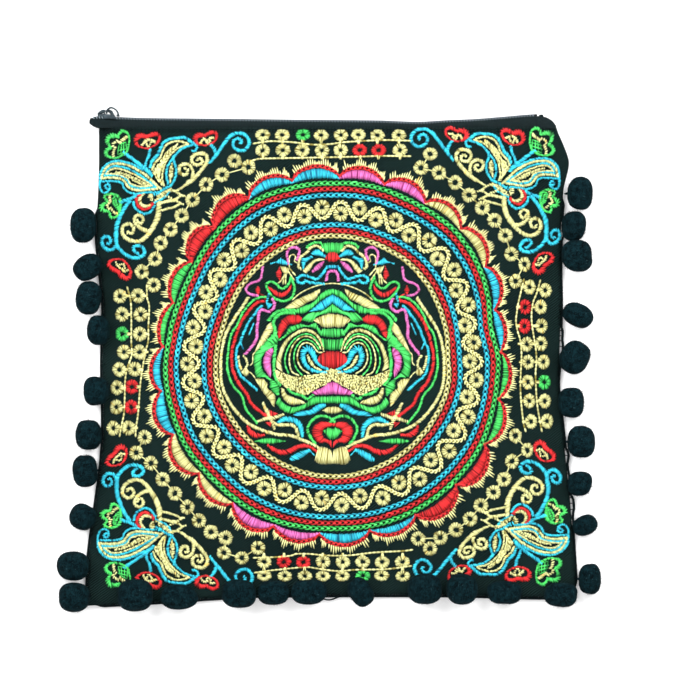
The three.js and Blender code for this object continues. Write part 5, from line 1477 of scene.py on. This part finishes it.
# Strands circle the seam's line, which is tucked in at both ends and slack where three sine waves add up;
# a stitch goes from the cloth over the braid and under it
def makeTrim(name, node, x, y, outward, loose=0.0):
    path = np.stack([x, y, np.full_like(x, braid["high"])], -1)
    sag = sum(high * np.sin(y * pace + start) for pace, start, high in slack["waves"])
    path = path + outward * (loose * np.clip(sag - slack["least"], 0, 1))[:, None]
    fromEnd = np.minimum(np.arange(len(x)), np.arange(len(x))[::-1])
    path = path - outward * (1 - swell(fromEnd, braid["tuck"]))[:, None] * braid["tuckIn"] * braid["out"]
    length = lengthAlong(path)
    parts = []
    for ply in range(braid["plies"]):
        angle = 2 * np.pi * (length / braid["twist"] + ply / braid["plies"])
        sway = outward * np.cos(angle)[:, None] + upward * np.sin(angle)[:, None]
        shade = braid["shade"] + braid["plyShade"] * ply
        parts.append(tube(path + braid["offset"] * sway, braid["strand"], braid["sides"], upward, shade))
    count = int(length[-1] / overcast["stitch"])
    at = (np.arange(count) + 0.5) * overcast["stitch"] + stray(overcast["stray"], count)
    foot = np.stack([np.interp(at, length, path[:, k]) for k in (0, 1)], -1)
    inward = np.broadcast_to(-outward[:2], foot.shape)
    along = np.stack([-inward[:, 1], inward[:, 0]], -1)
    far = np.array((overcast["bite"] + braid["out"], *overcast["inward"]))
    slip = stray(overcast["slip"], count)[:, None] * (far / 2)
    flat = foot[:, None] + inward[:, None] * far[:, None] + along[:, None] * slip[..., None]
    cloth = frontHeight(flat[..., 0], flat[..., 1])[:, :3] + overcast["overCloth"]
    height = np.hstack([cloth, np.broadcast_to(overcast["roundBraid"], cloth.shape)])
    place = np.concatenate([flat, height[..., None]], -1)
    side = np.broadcast_to(np.concatenate([along, np.zeros((count, 1))], -1)[:, None], place.shape)
    parts.append(strandMesh(place, overcast["half"], side, *overcast["tones"]))
    addParts(name, parts, "braid", [node])


seamY = np.linspace(*seams["left"])
makeTrim("braid_left", "trim_left", leftEdge(seamY) - braid["out"], seamY, np.array((-1, 0, 0)))
seamX = np.linspace(*seams["bottom"])
makeTrim("braid_bottom", "trim_bottom", seamX, bottomEdge(seamX) - braid["out"], np.array((0, -1, 0)))
seamY = np.linspace(*seams["right"])
seamX = rightEdge(seamY) + braid["out"]
makeTrim("braid_right", "trim_right", seamX, seamY, np.array((1, 0, 0)), seams["loose"])

# Slack loops of the braid's thread, at the bottom seam and the right one
slackLoops = ("322,598.6 327,600 332,599.6 339,597", "570,493 573.4,498 574.8,506 573.6,514 570.6,520")
loopPlaces = 24
loops = []
for text in slackLoops:
    x, y = onBag(evenly(points(text), loopPlaces))
    path = np.stack([x, y, np.full_like(x, braid["high"])], -1)
    loops.append(tube(path, braid["strand"], braid["sides"], upward))
addParts("braid_loops", loops, "braid")
print("trim made")

# Pompoms: lumpy felt balls with short fuzz and a twisted thread neck, each where its node is
puff = dict(rows=27, columns=44, square=2.45, size=0.98, lumps=0.1, lumpWaves=(6, 2.2), grain=0.024,
            grainWaves=(12, 9), low=0.05, waist=0.02)
fuzz = dict(hairs=520, long=0.5, uneven=(0.5, 1.3), root=0.96, lean=0.55, bend=(0.6, 0.4), tip=(0.3, 1),
            half=0.05, taper=(1.2, 1, 0.2), low=0.12)
neck = dict(radius=0.42, inner=0.3, drop=0.7, places=22, turns=1.6, apart=0.36, plies=2, sides=5,
            up=(0.3, 0.5, 0.8), corners=12)
puffFit = {  # move and stretch across and up, where a ball is fluffier than its core
    "pompom_right_01": (0, 0, 1.0, 1.07), "pompom_right_02": (-0.8, 0, 1.07, 1.15),
    "pompom_right_03": (-0.9, 0, 1.15, 1.08), "pompom_left_03": (0, 0, 1.03, 1.08),
    "pompom_bottom_02": (0, -0.4, 1.1, 1.04)}


# Centre, half sizes and long direction of a pompom's ball, and its neck's foot, from the node's corners
def ballOf(node):
    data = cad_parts[node].data
    corners = np.zeros(len(data.vertices) * 3)
    data.vertices.foreach_get("co", corners)
    corners = corners.reshape(-1, 3) / mm
    top = corners[corners[:, 2].argmax()]
    firstRing = np.unique(np.round(corners[:, 2], 3))[-2]  # 30 degrees down from the top
    deep = (top[2] - firstRing) / (1 - np.cos(np.pi / 6))
    centre = top - upward * deep
    level = np.abs(corners[:, 2] - centre[2]) < puff["waist"]
    waist = np.unique(np.round(corners[level, :2], 3), axis=0) - centre[:2]
    sizes, turn = np.linalg.eigh(2 * waist.T @ waist / len(waist))
    half = np.array((*np.sqrt(sizes), deep))
    axes = np.eye(3)
    axes[:2, :2] = turn.T * (1 if np.linalg.det(turn) > 0 else np.array(((1,), (-1,))))
    outside = np.linalg.norm((corners - centre) @ axes.T / half, axis=1)
    foot = corners[np.argsort(outside)[-neck["corners"]:]].mean(0)
    return centre, half, axes, foot


# Sum of sine waves in chosen directions, as a soft noise on unit vectors
def softNoise(rays, waves, pace):
    directions = chance.normal(size=(waves, 3)) * pace
    return np.sin(rays @ directions.T + chance.uniform(0, 2 * np.pi, waves)).mean(-1)


# Distance from the middle to the face of a ball that is a little square, along unit vectors
def plump(rays):
    return np.sum(np.abs(rays) ** puff["square"], -1, keepdims=True) ** (-1 / puff["square"])


# The ball is a plump sphere with noise, a hair bends from its root to its lean, a neck's plies circle a line
def makePompom(node):
    centre, half, axes, foot = ballOf(node)
    moveX, moveY, wider, taller = puffFit.get(node, (0, 0, 1, 1))
    move, stretch = np.array((moveX, moveY, 0)), np.array((wider, taller, 1))
    up, turn = ballAngles(puff["rows"], puff["columns"])
    rays = np.stack([np.cos(up) * np.cos(turn), np.cos(up) * np.sin(turn), np.sin(up)], -1)
    rough = puff["lumps"] * softNoise(rays, *puff["lumpWaves"])
    rough = rough + puff["grain"] * softNoise(rays, *puff["grainWaves"])
    grid = (rays * (plump(rays) * (puff["size"] + rough)[..., None]) * half) @ axes
    grid = centre + move + grid * stretch
    grid[..., 2] = np.maximum(grid[..., 2], puff["low"])
    parts = [plainPart(*closedBall(grid))]
    ray = unit(chance.normal(size=(fuzz["hairs"], 3)))
    root = centre + move + (ray * plump(ray) * fuzz["root"] * half) @ axes * stretch
    outward = unit((ray / half) @ axes)
    lean = unit(outward * fuzz["lean"] + chance.normal(size=ray.shape) * fuzz["lean"])
    reach = fuzz["long"] * chance.uniform(*fuzz["uneven"], (fuzz["hairs"], 1))
    bend, tip = (blend((outward, lean), fuzz[key]) for key in ("bend", "tip"))
    place = np.stack([root, root + bend * reach, root + tip * reach], 1)
    place[..., 2] = np.maximum(place[..., 2], fuzz["low"])
    side = np.broadcast_to(np.cross(lean, ray)[:, None], place.shape)
    parts.append(strandMesh(place, fuzz["half"] * np.array(fuzz["taper"]), side))
    start = foot - upward * neck["drop"]
    t = np.linspace(0, 1, neck["places"])[:, None]
    line = start + (centre + (foot - centre) * neck["inner"] - start) * t
    line[:, 2] = np.maximum(line[:, 2], neck["radius"] + puff["low"])
    for ply in range(neck["plies"]):
        angle = 2 * np.pi * (neck["turns"] * t + ply / neck["plies"])
        sway = np.concatenate([np.cos(angle), np.sin(angle), np.zeros_like(t)], 1) * neck["apart"]
        parts.append(tube(line + sway, neck["radius"], neck["sides"], neck["up"]))
    addParts(node.replace("pompom", "puff"), parts, "felt", [node])


for node in sorted(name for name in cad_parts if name.startswith("pompom")):
    makePompom(node)
print("pompoms made")

# Pale floor, soft light from all round and two large lamps, and the camera straight above
stage = dict(floor=3.0, floorDrop=0.4, middleX=11.26, middleY=5.37, lens=400, sensor=36, width=378, level=6,
             white=(1, 1, 1, 1), sky=1.0)
lamps = dict(size=1.1, power=25, places={"lamp_left": (-0.9, 0.7, 1.3), "lamp_right": (0.9, 0.9, 1.3)})
floorLook = dict(deep=(0.9, 0.9, 0.9), pale=(0.94, 0.94, 0.94), patches=4.0, rough=0.95,
                 glow=0.2)  # glow: lit from below, as on a light table


# A lamp, the camera or the floor as an object of the scene
def addToScene(name, data):
    holder = bpy.data.objects.new(name, data)
    bpy.context.scene.collection.objects.link(holder)
    return holder


# The camera's distance is the width of the view times its lens over its sensor
def makeStage():
    half = stage["floor"] / 2 / mm
    x, y = np.meshgrid((-half, half), (-half, half), indexing="ij")
    corners = np.stack([x, y, np.full_like(x, -stage["floorDrop"])], -1).reshape(-1, 3) * mm
    mesh = bpy.data.meshes.new("floor")
    mesh.from_pydata(corners, [], gridFaces(2, 2).tolist())
    material, wire, shader = newMaterial("pale_floor")
    patches = wire.noise(wire.place(), floorLook["patches"])
    wire.put(shader["Base Color"], wire.mix(patches, floorLook["deep"], floorLook["pale"]))
    shader["Roughness"].default_value = floorLook["rough"]
    shader["Emission Color"].default_value = stage["white"]
    shader["Emission Strength"].default_value = floorLook["glow"]
    mesh.materials.append(material)
    floor = addToScene("floor", mesh)
    world = bpy.data.worlds.new("soft_white")
    world.use_nodes = True
    sky = world.node_tree.nodes["Background"].inputs
    sky["Color"].default_value = stage["white"]
    sky["Strength"].default_value = stage["sky"]
    bpy.context.scene.world = world
    for name, spot in lamps["places"].items():
        lamp = bpy.data.lights.new(name, "AREA")
        lamp.size = lamps["size"]
        lamp.energy = lamps["power"]
        holder = addToScene(name, lamp)
        holder.location = spot
        holder.rotation_euler = (-Vector(spot)).to_track_quat("-Z", "Y").to_euler()
    camera = bpy.data.cameras.new("camera")
    camera.lens = stage["lens"]
    camera.sensor_width = stage["sensor"]
    holder = addToScene("camera", camera)
    distance = stage["width"] * stage["lens"] / stage["sensor"]
    holder.location = np.array((stage["middleX"], stage["middleY"], distance + stage["level"])) * mm
    bpy.context.scene.camera = holder
    bpy.context.scene.view_settings.view_transform = "Standard"


makeStage()
